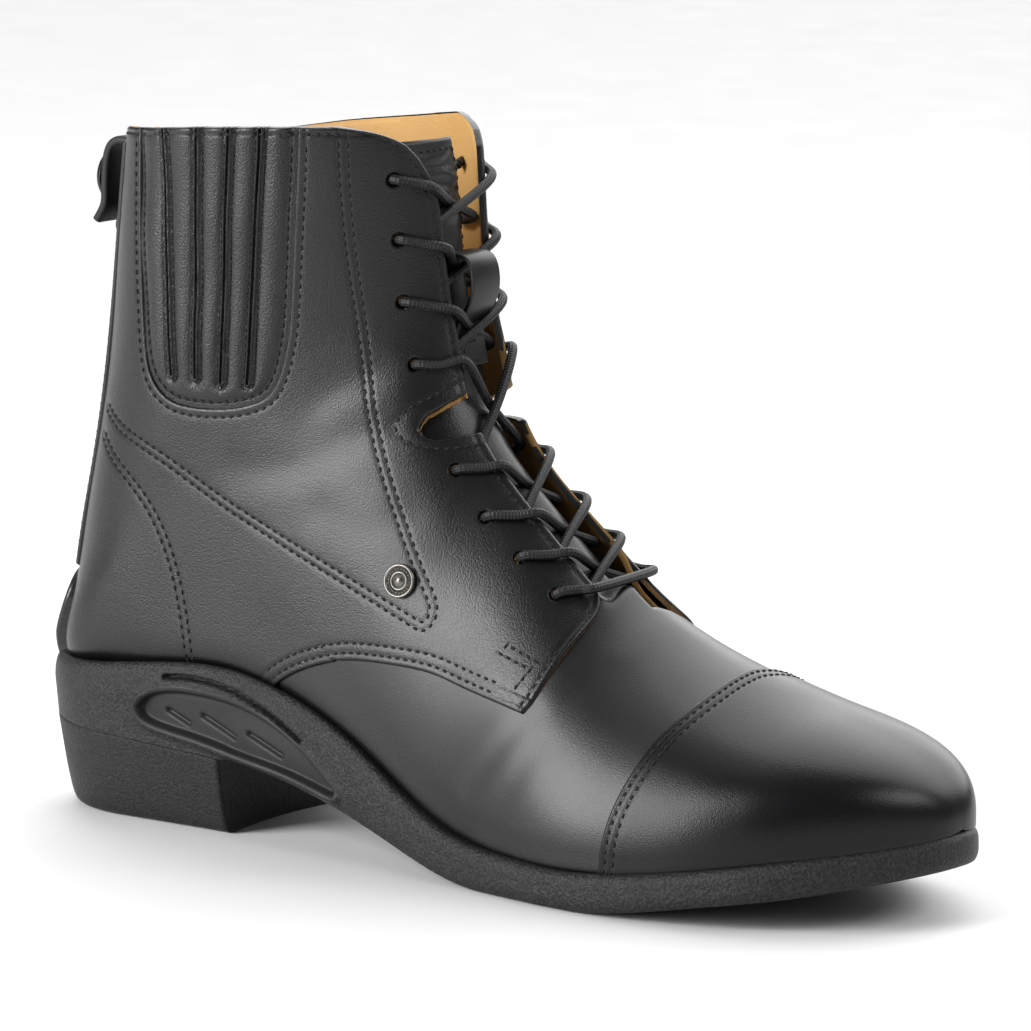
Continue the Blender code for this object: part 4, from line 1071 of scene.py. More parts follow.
def tongue_surface(depth):
    steps = np.linspace(0, len(TONGUE_ROWS) - 1, 120)
    row, outer_half, inner_half, drop = smooth_table(TONGUE_ROWS)(steps).T
    share = np.linspace(-1, 1, 45)
    degrees = np.where(share < 0, outer_half[:, None], inner_half[:, None]) * share
    rows = np.broadcast_to(row[:, None], degrees.shape)
    angle = np.radians(degrees)
    points, normals = last_point(rows, angle), last_normal(rows, angle)
    sink = WALL + TONGUE_CLEAR + np.maximum(drop, 0)[:, None] * (1 - (degrees / TONGUE_HALF) ** 4) + depth
    for height, tilt, crease, width in TONGUE_CREASES:
        off = points[..., 2] - height - tilt * share
        sink += crease * (1 - share**4) * (groove(off, width) - 0.6 * groove(off - 1.8 * width, width))
    edge = np.minimum(1 - np.abs(share), TONGUE_EDGE)[None, :] / TONGUE_EDGE
    way = np.where(depth > 0, -1, 1)
    sink += way * TONGUE_THICKNESS * TONGUE_EDGE_ROUND * (1 - np.sqrt(1 - (1 - edge) ** 2))
    return points - sink[..., None] * normals, normals


tongue_top, tongue_normals = tongue_surface(0.0)
tongue_back, _ = tongue_surface(TONGUE_THICKNESS)
rings = np.concatenate((tongue_top, tongue_back[:, ::-1]), 1)


def closed_faces(rows, columns, first=1, last=1):
    """Faces of a row of rings, with a face over each end that runs round it forward (1) or backward (-1)."""
    ends = range(columns)[::first], range((rows - 1) * columns, rows * columns)[::last]
    return [*grid_faces(rows, columns, True).tolist(), *ends]


def outward(piece):
    """Turns a closed piece's faces outward."""
    work = bmesh.new()
    work.from_mesh(piece.data)
    bmesh.ops.recalc_face_normals(work, faces=work.faces)
    work.to_mesh(piece.data)
    work.free()
    return piece


def solid_piece(name, points, faces, material, body="boot"):
    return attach(outward(bare_piece(name, points, faces, material)), body)


tongue_faces = closed_faces(*rings.shape[:2], last=-1)
tongue = solid_piece("tongue_leaf", rings.reshape(-1, 3), tongue_faces, tongue_leather)
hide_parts("tongue")
tongue_paths = []
up_the_tongue = slice(TONGUE_THREAD_FROM, -3)
for run in ((up_the_tongue, 3), (up_the_tongue, -4), (-4, slice(3, -3))):
    tongue_paths += [tongue_top[run] - TONGUE_THREAD_SINK * tongue_normals[run], tongue_normals[run]]
thread_pieces("tongue_thread", tongue_paths, STITCH_PITCH, black_thread)


# Lace keeper: a loop of smooth black strap on the tongue. Its lower end is sewn down on a small patch, and
# one crossing of the lace passes under it, so the tongue can't slip.
# The strap from its sewn end up: height, lift from the front line
KEEPER_ROWS = ((129.2, -6.7), (133.0, -6.7), (137.0, -6.6), (140.2, -5.4), (143.2, -2.6), (146.4, -0.4),
               (150.4, 0.6), (154.4, 0.4), (156.9, -1.6), (157.8, -6.6))
KEEPER_MIDDLE, KEEPER_HALF_WIDTH, KEEPER_THICKNESS = 1.8, 6.0, 1.3
PATCH_HALF, PATCH_LIFT, PATCH_PITCH = 4.6, -6.0, 2.0
PATCH_START, PATCH_LOW, PATCH_HIGH, PATCH_OUT = 130.0, 130.2, 135.0, (0.94, 0.0, 0.34)


def front_points(places):
    """Points over the front of the boot from y, z and lift."""
    places = np.array(places, float)
    spots = places_in_front(places[:, :2])
    return last_point(*spots.T) + places[:, 2:] * last_normal(*spots.T)


def strap(name, path, half_width, thickness, material, body="boot", corner=0.45):
    """A flat strap across the boot along a path in the middle plane, with rounded edges."""
    ahead = unit(np.gradient(path, axis=0))
    out = np.stack((ahead[:, 2], 0 * ahead[:, 0], -ahead[:, 0]), 1)
    half = thickness / 2
    profile = []
    for side_y, side_out, quarters in ((-1, 1, 2), (1, 1, 1), (1, -1, 0), (-1, -1, -1)):
        for turn in quarters * math.pi / 2 - np.linspace(0, math.pi / 2, 4):
            profile.append((side_y * (half_width - corner) + corner * math.cos(turn),
                            side_out * (half - corner) + corner * math.sin(turn)))
    wide, high = (np.array(profile)[None, :, k:k + 1] for k in range(2))
    rings = path[:, None] + wide * np.array((0.0, 1.0, 0.0)) + high * out[:, None]
    return solid_piece(name, rings.reshape(-1, 3), closed_faces(*rings.shape[:2]), material, body)


keeper_path = front_points([(KEEPER_MIDDLE, z, lift) for z, lift in drawn(KEEPER_ROWS, 10)])
strap_leather = leather("smooth_strap_leather", (0.0053, 0.0053, 0.006), (0.009, 0.009, 0.0101),
                        0.0004, 0.15, 0.38, 0.50, 0.08)
keeper = strap("lace_keeper_loop", keeper_path, KEEPER_HALF_WIDTH, KEEPER_THICKNESS, strap_leather)
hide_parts("lace_keeper")
keeper_paths = []
patch_sides = [[(y, z) for z in np.linspace(PATCH_START, PATCH_HIGH, 12)] for y in (-PATCH_HALF, PATCH_HALF)]
patch_ends = [[(y, z) for y in np.linspace(-PATCH_HALF, PATCH_HALF, 10)] for z in (PATCH_LOW, PATCH_HIGH)]
for run in patch_sides + patch_ends:
    keeper_paths += [front_points([(KEEPER_MIDDLE + y, z, PATCH_LIFT) for y, z in run]),
                     np.tile(PATCH_OUT, (len(run), 1))]
thread_pieces("keeper_thread", keeper_paths, PATCH_PITCH, black_thread)


# Lace: one round waxed black cord 2.6 mm thick, braided with a few pale threads. It crosses the opening as a
# bar at the lowest holes, then goes under one facing, over the other and down into each hole, up to the
# top holes, where both ends stop inside.
LACE_RADIUS = 1.28
LACE_BRAID, LACE_STRANDS, LACE_SWELL = 1.8, 4.0, 0.02
LACE_TONES = ((0.10, (0.0063, 0.0063, 0.0067)), (0.60, (0.021, 0.021, 0.021)))
# The crossing under the keeper, the crossings that rise less steeply, and how steeply those rise
KEPT_LEVEL, KEPT_DROP = 2, 1.6
HIGH_LEVELS, HIGH_STEEPNESS = 4, 0.82
# How far the lace's middle lies off the leather: inside a hole, over a facing, under a facing
IN_HOLE, OVER, UNDER = -1.2, (1.35, 1.45, 1.5), (-4.2, -4.5, -4.0)
# Its ends inside the top holes: how far toward the middle, how far down, and how far off the leather
LACE_END_IN, LACE_END_DOWN, LACE_END_LIFT = 1.5, 1.0, -4.6


def braided_cord(name):
    material, shader = new_finish(name, Roughness=0.52, Specular_IOR_Level=0.32)
    along = add_node(material, "ShaderNodeUVMap", {}, uv_map="braid").outputs["UV"]
    parts = add_node(material, "ShaderNodeSeparateXYZ", {"Vector": along})
    waves = []
    for sense in (1.0, -1.0):
        strands = {0: parts.outputs["Y"], 1: LACE_STRANDS * sense, 2: parts.outputs["X"]}
        slant = add_node(material, "ShaderNodeMath", strands, operation="MULTIPLY_ADD")
        turn = add_node(material, "ShaderNodeMath", {0: slant.outputs[0], 1: 2 * math.pi},
                        operation="MULTIPLY")
        waves.append(add_node(material, "ShaderNodeMath", {0: turn.outputs[0]}, operation="SINE").outputs[0])
    weave = add_node(material, "ShaderNodeMath", {0: waves[0], 1: waves[1]}, operation="MULTIPLY")
    where = add_node(material, "ShaderNodeTexCoord", {}).outputs["Object"]
    noise = add_node(material, "ShaderNodeTexNoise", {"Vector": where, "Scale": 900.0, "Detail": 2.0})
    fleck = add_node(material, "ShaderNodeMath", {0: weave.outputs[0], 1: noise.outputs["Fac"]},
                     operation="MULTIPLY")
    tone = add_node(material, "ShaderNodeValToRGB", {"Fac": fleck.outputs[0]})
    for stop, (place, colour) in zip(tone.color_ramp.elements, LACE_TONES):
        stop.position, stop.color = place, (*colour, 1)
    join_nodes(material, tone.outputs["Color"], shader.inputs["Base Color"])
    bump = add_node(material, "ShaderNodeBump",
                    {"Height": weave.outputs[0], "Strength": 0.5, "Distance": 0.00022})
    join_nodes(material, bump.outputs["Normal"], shader.inputs["Normal"])
    return material


def swept(points, step):
    """A smooth path through points, at even steps."""
    fine = smooth_table(points)(np.linspace(0, len(points) - 1, (len(points) - 1) * 24 + 1))
    length = length_along(fine)
    stops = np.linspace(0, length[-1], int(length[-1] / step) + 1)
    return read_along(fine, length, stops), stops


def tube(name, points, radius, material, step=0.55, sides=12, body="boot"):
    """A round cord along a path, with its braid's map along and round it."""
    path, length = swept(points, step)
    ahead = unit(np.gradient(path, axis=0))
    side = np.zeros_like(path)
    side[0] = unit(np.cross(ahead[0], (0.31, 0.2, 0.93)))
    for k in range(1, len(path)):
        side[k] = side[k - 1] - ahead[k] * (side[k - 1] @ ahead[k])
        side[k] /= np.linalg.norm(side[k])
    other = np.cross(ahead, side)
    turns = np.arange(sides) * 2 * math.pi / sides
    swell = 1 + LACE_SWELL * np.sin(2 * math.pi * length / LACE_BRAID)[:, None] * np.sin(4 * turns)
    rings = path[:, None] + radius * swell[..., None] * (
        np.cos(turns)[None, :, None] * side[:, None] + np.sin(turns)[None, :, None] * other[:, None])
    cord = bare_piece(name, rings.reshape(-1, 3), closed_faces(len(path), sides, first=-1), material)
    columns = np.tile(np.arange(sides), len(path) - 1)
    starts = np.repeat(length[:-1], sides) / LACE_BRAID
    ends = np.repeat(length[1:], sides) / LACE_BRAID
    corners = np.stack((
        np.stack((starts, columns / sides), 1), np.stack((starts, (columns + 1) / sides), 1),
        np.stack((ends, (columns + 1) / sides), 1), np.stack((ends, columns / sides), 1)), 1)
    uv = np.concatenate((corners.reshape(-1, 2), np.zeros((2 * sides, 2))))
    cord.data.uv_layers.new(name="braid").data.foreach_set("uv", uv.astype(np.float32).ravel())
    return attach(outward(cord), body)


def hole_at(level, side):
    z, outer, inner = HOLE_ROWS[level]
    return side * (inner if side == INNER else outer), z


def lace_run(level, side):
    """From inside a hole, under its facing, through the opening and over the other facing into the next
    hole up on the other side, as y, z and lift."""
    start_y, start_z = hole_at(level, side)
    end_y, end_z = hole_at(level - 1, -side)
    near = side * throat_half(start_z, side)
    far = -side * throat_half(end_z, -side)
    rise = end_z - start_z
    steep = HIGH_STEEPNESS if level < HIGH_LEVELS else 1.0
    places = [
        (start_y - 0.6 * side, start_z + 0.02 * rise, UNDER[0]),
        (start_y - 4.5 * side, start_z + 0.08 * rise, UNDER[1]),
        (near + 1.0 * side, start_z + 0.22 * rise, UNDER[2]),
        (far + 0.3 * side, start_z + steep * rise, OVER[2]),
        (end_y + 5.0 * side, start_z + (0.6 + 0.4 * steep) * rise, OVER[1]),
        (end_y + 1.2 * side, end_z, OVER[0]),
        (end_y, end_z, IN_HOLE),
    ]
    points = front_points(places)
    apart = (LACE_RADIUS if side == OUTER else -LACE_RADIUS) - (KEPT_DROP if level == KEPT_LEVEL else 0.0)
    crossing = places_in_front([(0.0, start_z + rise / 2)])[0]
    middle = (points[2] + points[3]) / 2 + apart * unit(last_normal(*crossing))
    return np.insert(points, 3, middle, axis=0)


last_level = len(HOLE_ROWS) - 1
lace_halves = []
for side in (OUTER, INNER):
    half_path = []
    for level in range(last_level, 0, -1):
        half_path.append(lace_run(level, side))
        side = -side
    end_y, end_z = hole_at(0, side)
    half_path.append(front_points([(end_y - LACE_END_IN * side, end_z - LACE_END_DOWN, LACE_END_LIFT)]))
    lace_halves.append(np.concatenate(half_path))
bar_y, bar_z = -hole_at(last_level, OUTER)[0], HOLE_ROWS[-1][0]
bar_half = throat_half(bar_z, OUTER)
bar = [(bar_y, bar_z, IN_HOLE), (bar_y - 1.2, bar_z, OVER[0]), (bar_y - 5.0, bar_z + 0.2, OVER[1]),
       (bar_half - 0.3, bar_z + 0.6, OVER[2])]
bar = [(-y, z, lift) for y, z, lift in bar] + bar[::-1]
lace_path = np.concatenate((lace_halves[0][::-1], front_points(bar), lace_halves[1]))
lace = tube("lace_cord", lace_path, LACE_RADIUS, braided_cord("braided_lace"))
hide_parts("lace_bar", *(f"lace_cross_{k}" for k in range(1, 8)))


# Stud: a round cap of aged nickel riveted through the outer quarter near the instep. A raised rim and an
# inner ring hold a band of small beads, with a plain dome in the middle.
STUD_PLACE = ((126.6, 75.2),)
STUD_SIDES, STUD_LIFT = 56, 0.1
# Profile from the rim to the middle: radius, height
STUD_PROFILE = ((4.5, 0.0), (4.5, 0.9), (4.35, 1.25), (4.1, 1.4), (3.85, 1.3), (3.7, 0.95), (3.6, 0.85),
                (2.55, 0.85), (2.45, 1.15), (2.25, 1.25), (2.05, 1.15), (1.95, 0.9), (1.3, 0.95), (1.0, 1.2),
                (0.5, 1.45), (0.02, 1.5))
DARK_BANDS = (6, 11)
STUD_BEADS, BEAD_RING, BEAD_SEAT = 22, 3.08, 0.84
BEAD_PROFILE = ((0.36, 0.0), (0.33, 0.14), (0.22, 0.28), (0.01, 0.34))
nickel = plain_finish("aged_nickel", (0.19, 0.18, 0.165), 0.32, 1800.0, 0.25, 1.0)
dark_nickel = plain_finish("dark_nickel_ground", (0.040, 0.038, 0.036), 0.5, 2500.0, 0.5, 0.9)


def turned(profile, sides):
    """Points and faces of a profile of radius and height turned about its third axis."""
    turns = np.arange(sides) * 2 * math.pi / sides
    points = np.array([(r * math.cos(t), r * math.sin(t), h) for r, h in profile for t in turns])
    return points, grid_faces(len(profile), sides, True)


def set_on(points, centre, normal):
    """Points about an axis moved onto a centre, with the axis along its normal."""
    turn = np.array(Vector(normal).to_track_quat("Z", "Y").to_matrix())
    return points @ turn.T + centre


stud_row, stud_angle = places_on_side(STUD_PLACE, OUTER)[0]
stud_centre, stud_normal = last_point(stud_row, stud_angle), last_normal(stud_row, stud_angle)
stud_points, stud_faces = turned(STUD_PROFILE, STUD_SIDES)
bead_points, bead_faces = turned(BEAD_PROFILE, 8)
for k in range(STUD_BEADS):
    turn = 2 * math.pi * k / STUD_BEADS
    bead_place = BEAD_RING * math.cos(turn), BEAD_RING * math.sin(turn), BEAD_SEAT
    stud_faces = np.concatenate((stud_faces, bead_faces + len(stud_points)))
    stud_points = np.concatenate((stud_points, bead_points + bead_place))
stud_points = set_on(stud_points, stud_centre + STUD_LIFT * stud_normal, stud_normal)
stud = mesh_piece("stud_cap", stud_points, stud_faces, nickel)
stud.data.materials.append(dark_nickel)
for band in DARK_BANDS:
    for face in stud.data.polygons[STUD_SIDES * band:STUD_SIDES * (band + 1)]:
        face.material_index = 1
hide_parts("stud")


# Outsole: one moulding of black rubber with a stippled skin, cemented under the upper. It has a rounded
# edge all round, a low cup at the heel, an oval panel and a slit moulded into each side of the arch, and a
# ribbed tread.
def rubber(name, dark, pale, roughness, stipple, depth):
    material, shader = new_finish(name, Specular_IOR_Level=0.30)
    where = add_node(material, "ShaderNodeTexCoord", {}).outputs["Object"]
    grains = add_node(material, "ShaderNodeTexNoise", {"Vector": where, "Scale": 1 / stipple, "Detail": 3.0,
                                                       "Roughness": 0.62})
    patch = add_node(material, "ShaderNodeTexNoise", {"Vector": where, "Scale": 45.0, "Detail": 3.0})
    bump = add_node(material, "ShaderNodeBump",
                    {"Height": grains.outputs["Fac"], "Strength": depth, "Distance": 0.0005})
    join_nodes(material, bump.outputs["Normal"], shader.inputs["Normal"])
    rough = add_node(material, "ShaderNodeMapRange",
                     {"Value": patch.outputs["Fac"], "From Min": 0.3, "From Max": 0.7,
                      "To Min": roughness - 0.06, "To Max": roughness + 0.08})
    join_nodes(material, rough.outputs[0], shader.inputs["Roughness"])
    fleck = add_node(material, "ShaderNodeMapRange",
                     {"Value": grains.outputs["Fac"], "From Min": 0.42, "From Max": 0.66})
    tone = add_node(material, "ShaderNodeMix", {"Factor": fleck.outputs[0], "A": (*dark, 1), "B": (*pale, 1)},
                    data_type="RGBA")
    join_nodes(material, tone.outputs["Result"], shader.inputs["Base Color"])
    return material


sole_rubber = rubber("stippled_sole_rubber", (0.003, 0.003, 0.0036), (0.024, 0.024, 0.0255),
                     0.44, 0.00075, 1.0)
smooth_rubber = rubber("smooth_side_rubber", (0.0085, 0.0085, 0.0092), (0.0127, 0.0127, 0.0141),
                       0.50, 0.0009, 0.12)
# The edge from the tread up and over the rim: inset, share of the height
SOLE_EDGE = ((3.2, 0.0), (1.4, 0.03), (0.5, 0.12), (0.0, 0.32), (0.0, 0.55), (0.1, 0.74), (0.7, 0.90),
             (1.7, 0.985), (2.7, 1.0), (4.2, 0.985), (8.6, 0.94))
# Grid lines up the edge, and the place in the table above that each of them has reached
EDGE_LINES, EDGE_PLACES = (0, 3, 8, 24, 40, 53, 64, 73), (0, 1, 2, 3, 4, 5, 6, 10)
# The moulded shapes on each side of the arch: x, z
SLIT = ((50.3, 41.2), (59.4, 41.9), (72.8, 40.4), (86.1, 35.6), (96.6, 29.9))
OVAL = ((41.9, 32.2), (45.4, 35.6), (52.0, 37.3), (60.0, 37.7), (76.1, 36.0), (92.7, 29.6), (102.5, 22.9),
        (108.0, 18.6), (106.6, 17.4), (92.7, 20.6), (76.1, 23.4), (62.7, 26.0), (49.2, 27.9), (43.2, 29.8))
OVAL_DEPTH, OVAL_SOFTNESS, OVAL_FINISH = 1.7, 1.0, 1.6
OVAL_RIM, OVAL_LOWER_RIM, OVAL_RIM_AT, OVAL_RIM_WIDTH = 0.45, 0.75, 1.4, 1.2
LOWER_RIM, LOWER_SLOPE, LOWER_FROM, LOWER_FADE = 31.0, 0.28, 60.0, 3.0
SLIT_DEPTH, SLIT_WIDTH = 2.4, 0.52
SIDE_GROOVE_DEPTH, SIDE_GROOVE_WIDTH = 1.2, 0.62
ARCH_BACK, ARCH_FRONT = 36, 113
# The squarer lower edge over the heel block: how far past its front, fade, inset, share of the height
HEEL_SEAT_PAST, HEEL_SEAT_FADE, HEEL_SEAT_INSET, HEEL_SEAT_SHARE = 3, 6.0, 0.9, 0.6
SIDE_GROOVES = (((50.6, 32.0), (57.3, 29.2)), ((62.4, 31.9), (73.1, 27.5)), ((78.1, 29.0), (89.0, 24.6)))


oval_outline = drawn(OVAL + OVAL[:1], 6)[:-1]


def off_path(spots, path):
    """Distance of flat points from an open line."""
    best = np.full(len(spots), 1e9)
    for start, end in zip(path, path[1:]):
        along = np.subtract(end, start)
        share = np.clip((spots - start) @ along / (along @ along), 0, 1)
        best = np.minimum(best, np.linalg.norm(spots - start - share[:, None] * along, axis=1))
    return best


def arch_relief(spots):
    """How far the moulded shapes sink into the side of the arch, at x and z."""
    oval = -outside_outline(spots, oval_outline)
    lower = step_up(LOWER_RIM - spots[:, 1] - LOWER_SLOPE * (spots[:, 0] - LOWER_FROM), LOWER_FADE)
    rim_height = OVAL_RIM + OVAL_LOWER_RIM * lower
    sink = OVAL_DEPTH * step_up(oval, OVAL_SOFTNESS) - rim_height * groove(oval + OVAL_RIM_AT, OVAL_RIM_WIDTH)
    sink = sink + SLIT_DEPTH * groove(off_path(spots, drawn(SLIT, 8)), SLIT_WIDTH)
    for ends in SIDE_GROOVES:
        sink = sink + SIDE_GROOVE_DEPTH * groove(off_path(spots, np.array(ends)), SIDE_GROOVE_WIDTH)
    return sink


# Stations from heel to toe, closer together round both ends and along the moulded arch
sole_x = np.concatenate((
    SOLE_BACK + 0.02 + 38 * (1 - np.cos(np.linspace(0, math.pi / 2, 44))),
    np.linspace(34.5, 112.0, 205), np.linspace(113.5, 236.0, 60),
    SOLE_TOE - 0.02 - 43 * (1 - np.cos(np.linspace(math.pi / 2, 0, 50)))))
sole_x = np.unique(np.round(sole_x, 3))
outer, inner, rim, under = sole_at(sole_x)
count = len(sole_x)
outline = np.concatenate((np.stack((sole_x, -outer), 1), np.stack((sole_x, inner), 1)[::-1]))
outline_ahead = np.roll(outline, -1, axis=0) - np.roll(outline, 1, axis=0)
outline_in = unit(np.stack((-outline_ahead[:, 1], outline_ahead[:, 0]), 1))
edge_steps = np.interp(np.arange(EDGE_LINES[-1] + 1), EDGE_LINES, EDGE_PLACES)
edge_profile = smooth_table(SOLE_EDGE)(edge_steps)
around_rim, around_under = (np.concatenate((values, values[::-1])) for values in (rim, under))
at_heel = step_up(BREAST_X + HEEL_SEAT_PAST - sole_x, HEEL_SEAT_FADE)
at_heel = np.concatenate((at_heel, at_heel[::-1]))
wall = []
for inset, share in edge_profile:
    heel_inset = inset
    if share < HEEL_SEAT_SHARE:
        heel_inset = max(HEEL_SEAT_INSET * (1 - share / HEEL_SEAT_SHARE), 0.0)
    flat = outline + outline_in * (inset + (heel_inset - inset) * at_heel)[:, None]
    wall.append(np.column_stack((flat, around_under + (around_rim - around_under) * share)))
wall = np.array(wall)
in_arch = (wall[..., 0] > ARCH_BACK) & (wall[..., 0] < ARCH_FRONT)
relief = np.zeros(wall.shape[:2])
relief[in_arch] = arch_relief(wall[in_arch][:, [0, 2]])
side_facing = np.abs(outline_in[:, 1])[None, :] ** 2
wall[..., :2] += (relief * side_facing)[..., None] * outline_in
levels = len(wall)
wall_faces = grid_faces(levels, 2 * count, True)
TREAD_PITCH, TREAD_DEPTH, TREAD_BOW = 7.0, 0.9, 5.0
TREAD_BACK, TREAD_FRONT, TREAD_FADE = BREAST_X + 60, SOLE_TOE - 14, 12
RIB_LEVEL, RIB_EDGE = 0.55, 0.5
tread_across = np.linspace(0, 1, 23)[1:-1]
low_edge = wall[0]
outer_low, inner_low = low_edge[:count], low_edge[count:][::-1]
tread = outer_low[:, None] + tread_across[:, None] * (inner_low - outer_low)[:, None]
bow = TREAD_BOW * np.sin(math.pi * tread_across)
ribs = step_up(np.sin(2 * math.pi * (tread[..., 0] + bow) / TREAD_PITCH) - RIB_LEVEL, RIB_EDGE)
on_ground = (sole_x > TREAD_BACK) & (sole_x < TREAD_FRONT)
fade = np.minimum(1, np.minimum(tread_across, 1 - tread_across) * TREAD_FADE)
tread[..., 2] += TREAD_DEPTH * ribs * on_ground[:, None] * fade
tread_points = tread.reshape(-1, 3)
tread_first = levels * 2 * count
columns = len(tread_across)
tread_index = np.arange(count * columns).reshape(count, columns) + tread_first
tread_index = np.column_stack((np.arange(count), tread_index, 2 * count - 1 - np.arange(count)))
tread_faces = np.stack((tread_index[:-1, :-1], tread_index[:-1, 1:], tread_index[1:, 1:],
                        tread_index[1:, :-1]), -1).reshape(-1, 4)
top = (levels - 1) * 2 * count
bed_outer, bed_inner = top + np.arange(count), top + 2 * count - 1 - np.arange(count)
bed = np.stack((bed_outer[:-1], bed_outer[1:], bed_inner[1:], bed_inner[:-1]), 1)
sole_points = np.concatenate((wall.reshape(-1, 3), tread_points))
sole_faces = np.concatenate((wall_faces, tread_faces, bed))
outsole = solid_piece("rubber_outsole", sole_points, sole_faces, sole_rubber)
outsole.data.materials.append(smooth_rubber)
wall_middle = wall.reshape(-1, 3)[wall_faces].mean(1)
in_oval = (wall_middle[:, 0] > ARCH_BACK) & (wall_middle[:, 0] < ARCH_FRONT)
in_oval[in_oval] = outside_outline(wall_middle[in_oval][:, [0, 2]], oval_outline) < OVAL_FINISH
for index in np.flatnonzero(in_oval).tolist():
    outsole.data.polygons[index].material_index = 1
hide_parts("outsole")


# Heel block: a block of the same black rubber, moulded on under the heel seat. It tapers a little to the
# floor and its front is hollowed.
# The edge from the floor up: inset, share of the height
HEEL_EDGE = ((8.6, 0.0), (6.6, 0.015), (5.3, 0.07), (4.4, 0.18), (3.4, 0.36), (2.3, 0.62), (1.2, 0.9),
             (0.95, 0.98), (1.2, 1.0))
HEEL_GAP, BREAST_HOLLOW, BREAST_CORNER, BREAST_CORNER_POWER = 0.12, 3.0, 0.25, 14
heel_turn = np.linspace(0, math.pi / 2, 70)
heel_x = BREAST_X - (BREAST_X - SOLE_BACK - 0.05) * np.sin(heel_turn)
heel_outer, heel_inner, _, _ = sole_at(heel_x)
heel_line = np.concatenate((np.stack((heel_x, -heel_outer), 1), np.stack((heel_x, heel_inner), 1)[-2::-1]))
heel_ahead = np.gradient(heel_line, axis=0)
heel_in = unit(np.stack((heel_ahead[:, 1], -heel_ahead[:, 0]), 1))
heel_in[[0, -1]] = (0.0, 1.0), (0.0, -1.0)
breast_share = np.linspace(1, -1, 42)[1:-1]
heel_rings = []
for inset, share in drawn(HEEL_EDGE, 6):
    flat = heel_line + heel_in * inset
    half_outer, half_inner = -flat[0, 1], flat[-1, 1]
    breast_y = np.where(breast_share > 0, half_inner, half_outer) * breast_share
    corner = 1.0 - np.abs(breast_share) ** BREAST_CORNER_POWER
    breast_x = BREAST_X - BREAST_HOLLOW * (1 - breast_share**2) - BREAST_CORNER * (1 - corner)
    breast = np.stack((breast_x, breast_y), 1)
    ring = np.concatenate((flat, breast))
    heel_rings.append(np.column_stack((ring, (parting_height(ring[:, 0]) - HEEL_GAP) * share)))
heel_rings = np.array(heel_rings)
heel_rubber = rubber("stippled_heel_rubber", (0.0035, 0.0035, 0.0042), (0.0182, 0.0182, 0.0196),
                     0.50, 0.00070, 0.9)
heel_faces = closed_faces(*heel_rings.shape[:2])
heel = solid_piece("rubber_heel_block", heel_rings.reshape(-1, 3), heel_faces, heel_rubber)
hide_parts("heel_block")


# Spur rest: a glossy black rubber ledge sewn on across the back of the heel above the sole. Three low ribs
# run across it.
spur_rubber = plain_finish("glossy_spur_rubber", (0.012, 0.012, 0.012), 0.26, 900.0, 0.15)
SPUR_HALF, SPUR_LOW, SPUR_HIGH, SPUR_SHOULDER = 20.0, 40.5, 63.4, 9.0
SPUR_PROUD_LOW, SPUR_PROUD_HIGH = 4.2, 1.4
SPUR_RIBS, SPUR_RIB_HEIGHT, SPUR_RIB_WIDTH = (48.0, 52.6, 57.2), 0.45, 0.8
SPUR_EDGE_RADIUS, SPUR_EDGE_LEVELS = 1.3, (0.15, 0.4, 0.8, 1.3)
SPUR_ROWS, SPUR_ANGLE = (12.6, 16.2), 1.5
SPUR_TAPER, SPUR_RIBS_IN, SPUR_RIBS_FADE = (46.0, 63.0), 3.0, 2.0


def make_spur_rest():
    panel = Panel(np.linspace(*SPUR_ROWS, 110), np.linspace(SPUR_ANGLE, 2 * math.pi - SPUR_ANGLE, 219))
    points = panel.points()
    sides = SPUR_HALF - np.abs(points[:, 1])
    top = SPUR_HIGH - points[:, 2]
    panel.measures["edge"] = np.minimum(round_corner(sides, top, SPUR_SHOULDER), points[:, 2] - SPUR_LOW)
    panel.trim("edge")
    panel.grade("edge", *SPUR_EDGE_LEVELS)
    points = panel.points()
    proud = np.interp(points[:, 2], SPUR_TAPER, (SPUR_PROUD_LOW, SPUR_PROUD_HIGH))
    ribs = sum(groove(points[:, 2] - height, SPUR_RIB_WIDTH) for height in SPUR_RIBS)
    ribs = ribs * step_up(panel.measures["edge"] - SPUR_RIBS_IN, SPUR_RIBS_FADE)
    lift = proud - edge_drop(panel.measures["edge"], SPUR_EDGE_RADIUS) + SPUR_RIB_HEIGHT * ribs
    spur_rest = panel_piece("spur_rest_ledge", panel, lift, SPUR_PROUD_LOW, spur_rubber)
    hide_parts("spur_rest")


make_spur_rest()


# Back zip: two leather edgings with a black cloth tape between them that carries a row of dark metal teeth.
# It is sewn into the back seam from above the spur rest to the collar.
zip_metal = plain_finish("dark_zip_metal", (0.05, 0.05, 0.052), 0.34, 1500.0, 0.2, 0.85)
ZIP_HALF, ZIP_HIGH, ZIP_GAP, ZIP_THREAD_AT = 19.0, 181.0, 1.9, 1.7
EDGING_LIFT, EDGING_THICKNESS, EDGING_BEAD, EDGING_BEAD_AT, EDGING_BEAD_WIDTH = 1.2, 1.4, 0.5, 1.4, 1.2
EDGING_FIRST_ROW, EDGING_DEGREES, EDGING_THREAD_LIFT = 14.6, (124, 179.9), 1.0
TAPE_ROWS, TAPE_HALF_ANGLE, TAPE_SINK = (15.2, 20.85), 0.26, 1.25
TAPE_STEPS, TAPE_COLUMNS = 60, 13
TEETH_ROWS, TEETH_LOW, TEETH_HIGH = (14.9, 20.9), ZIP_LOW + 1, ZIP_HIGH - 4
TOOTH_PITCH, TOOTH_LIFT, TOOTH_TIP, TOOTH_TIP_HEIGHT = 1.9, 0.2, 0.7, 0.8
TOOTH_LONG, TOOTH_WIDE, TOOTH_HIGH = (-0.55, 0.55), (-1.7, -1.2, 0.35, 0.75), (0.0, 0.55, 0.85)


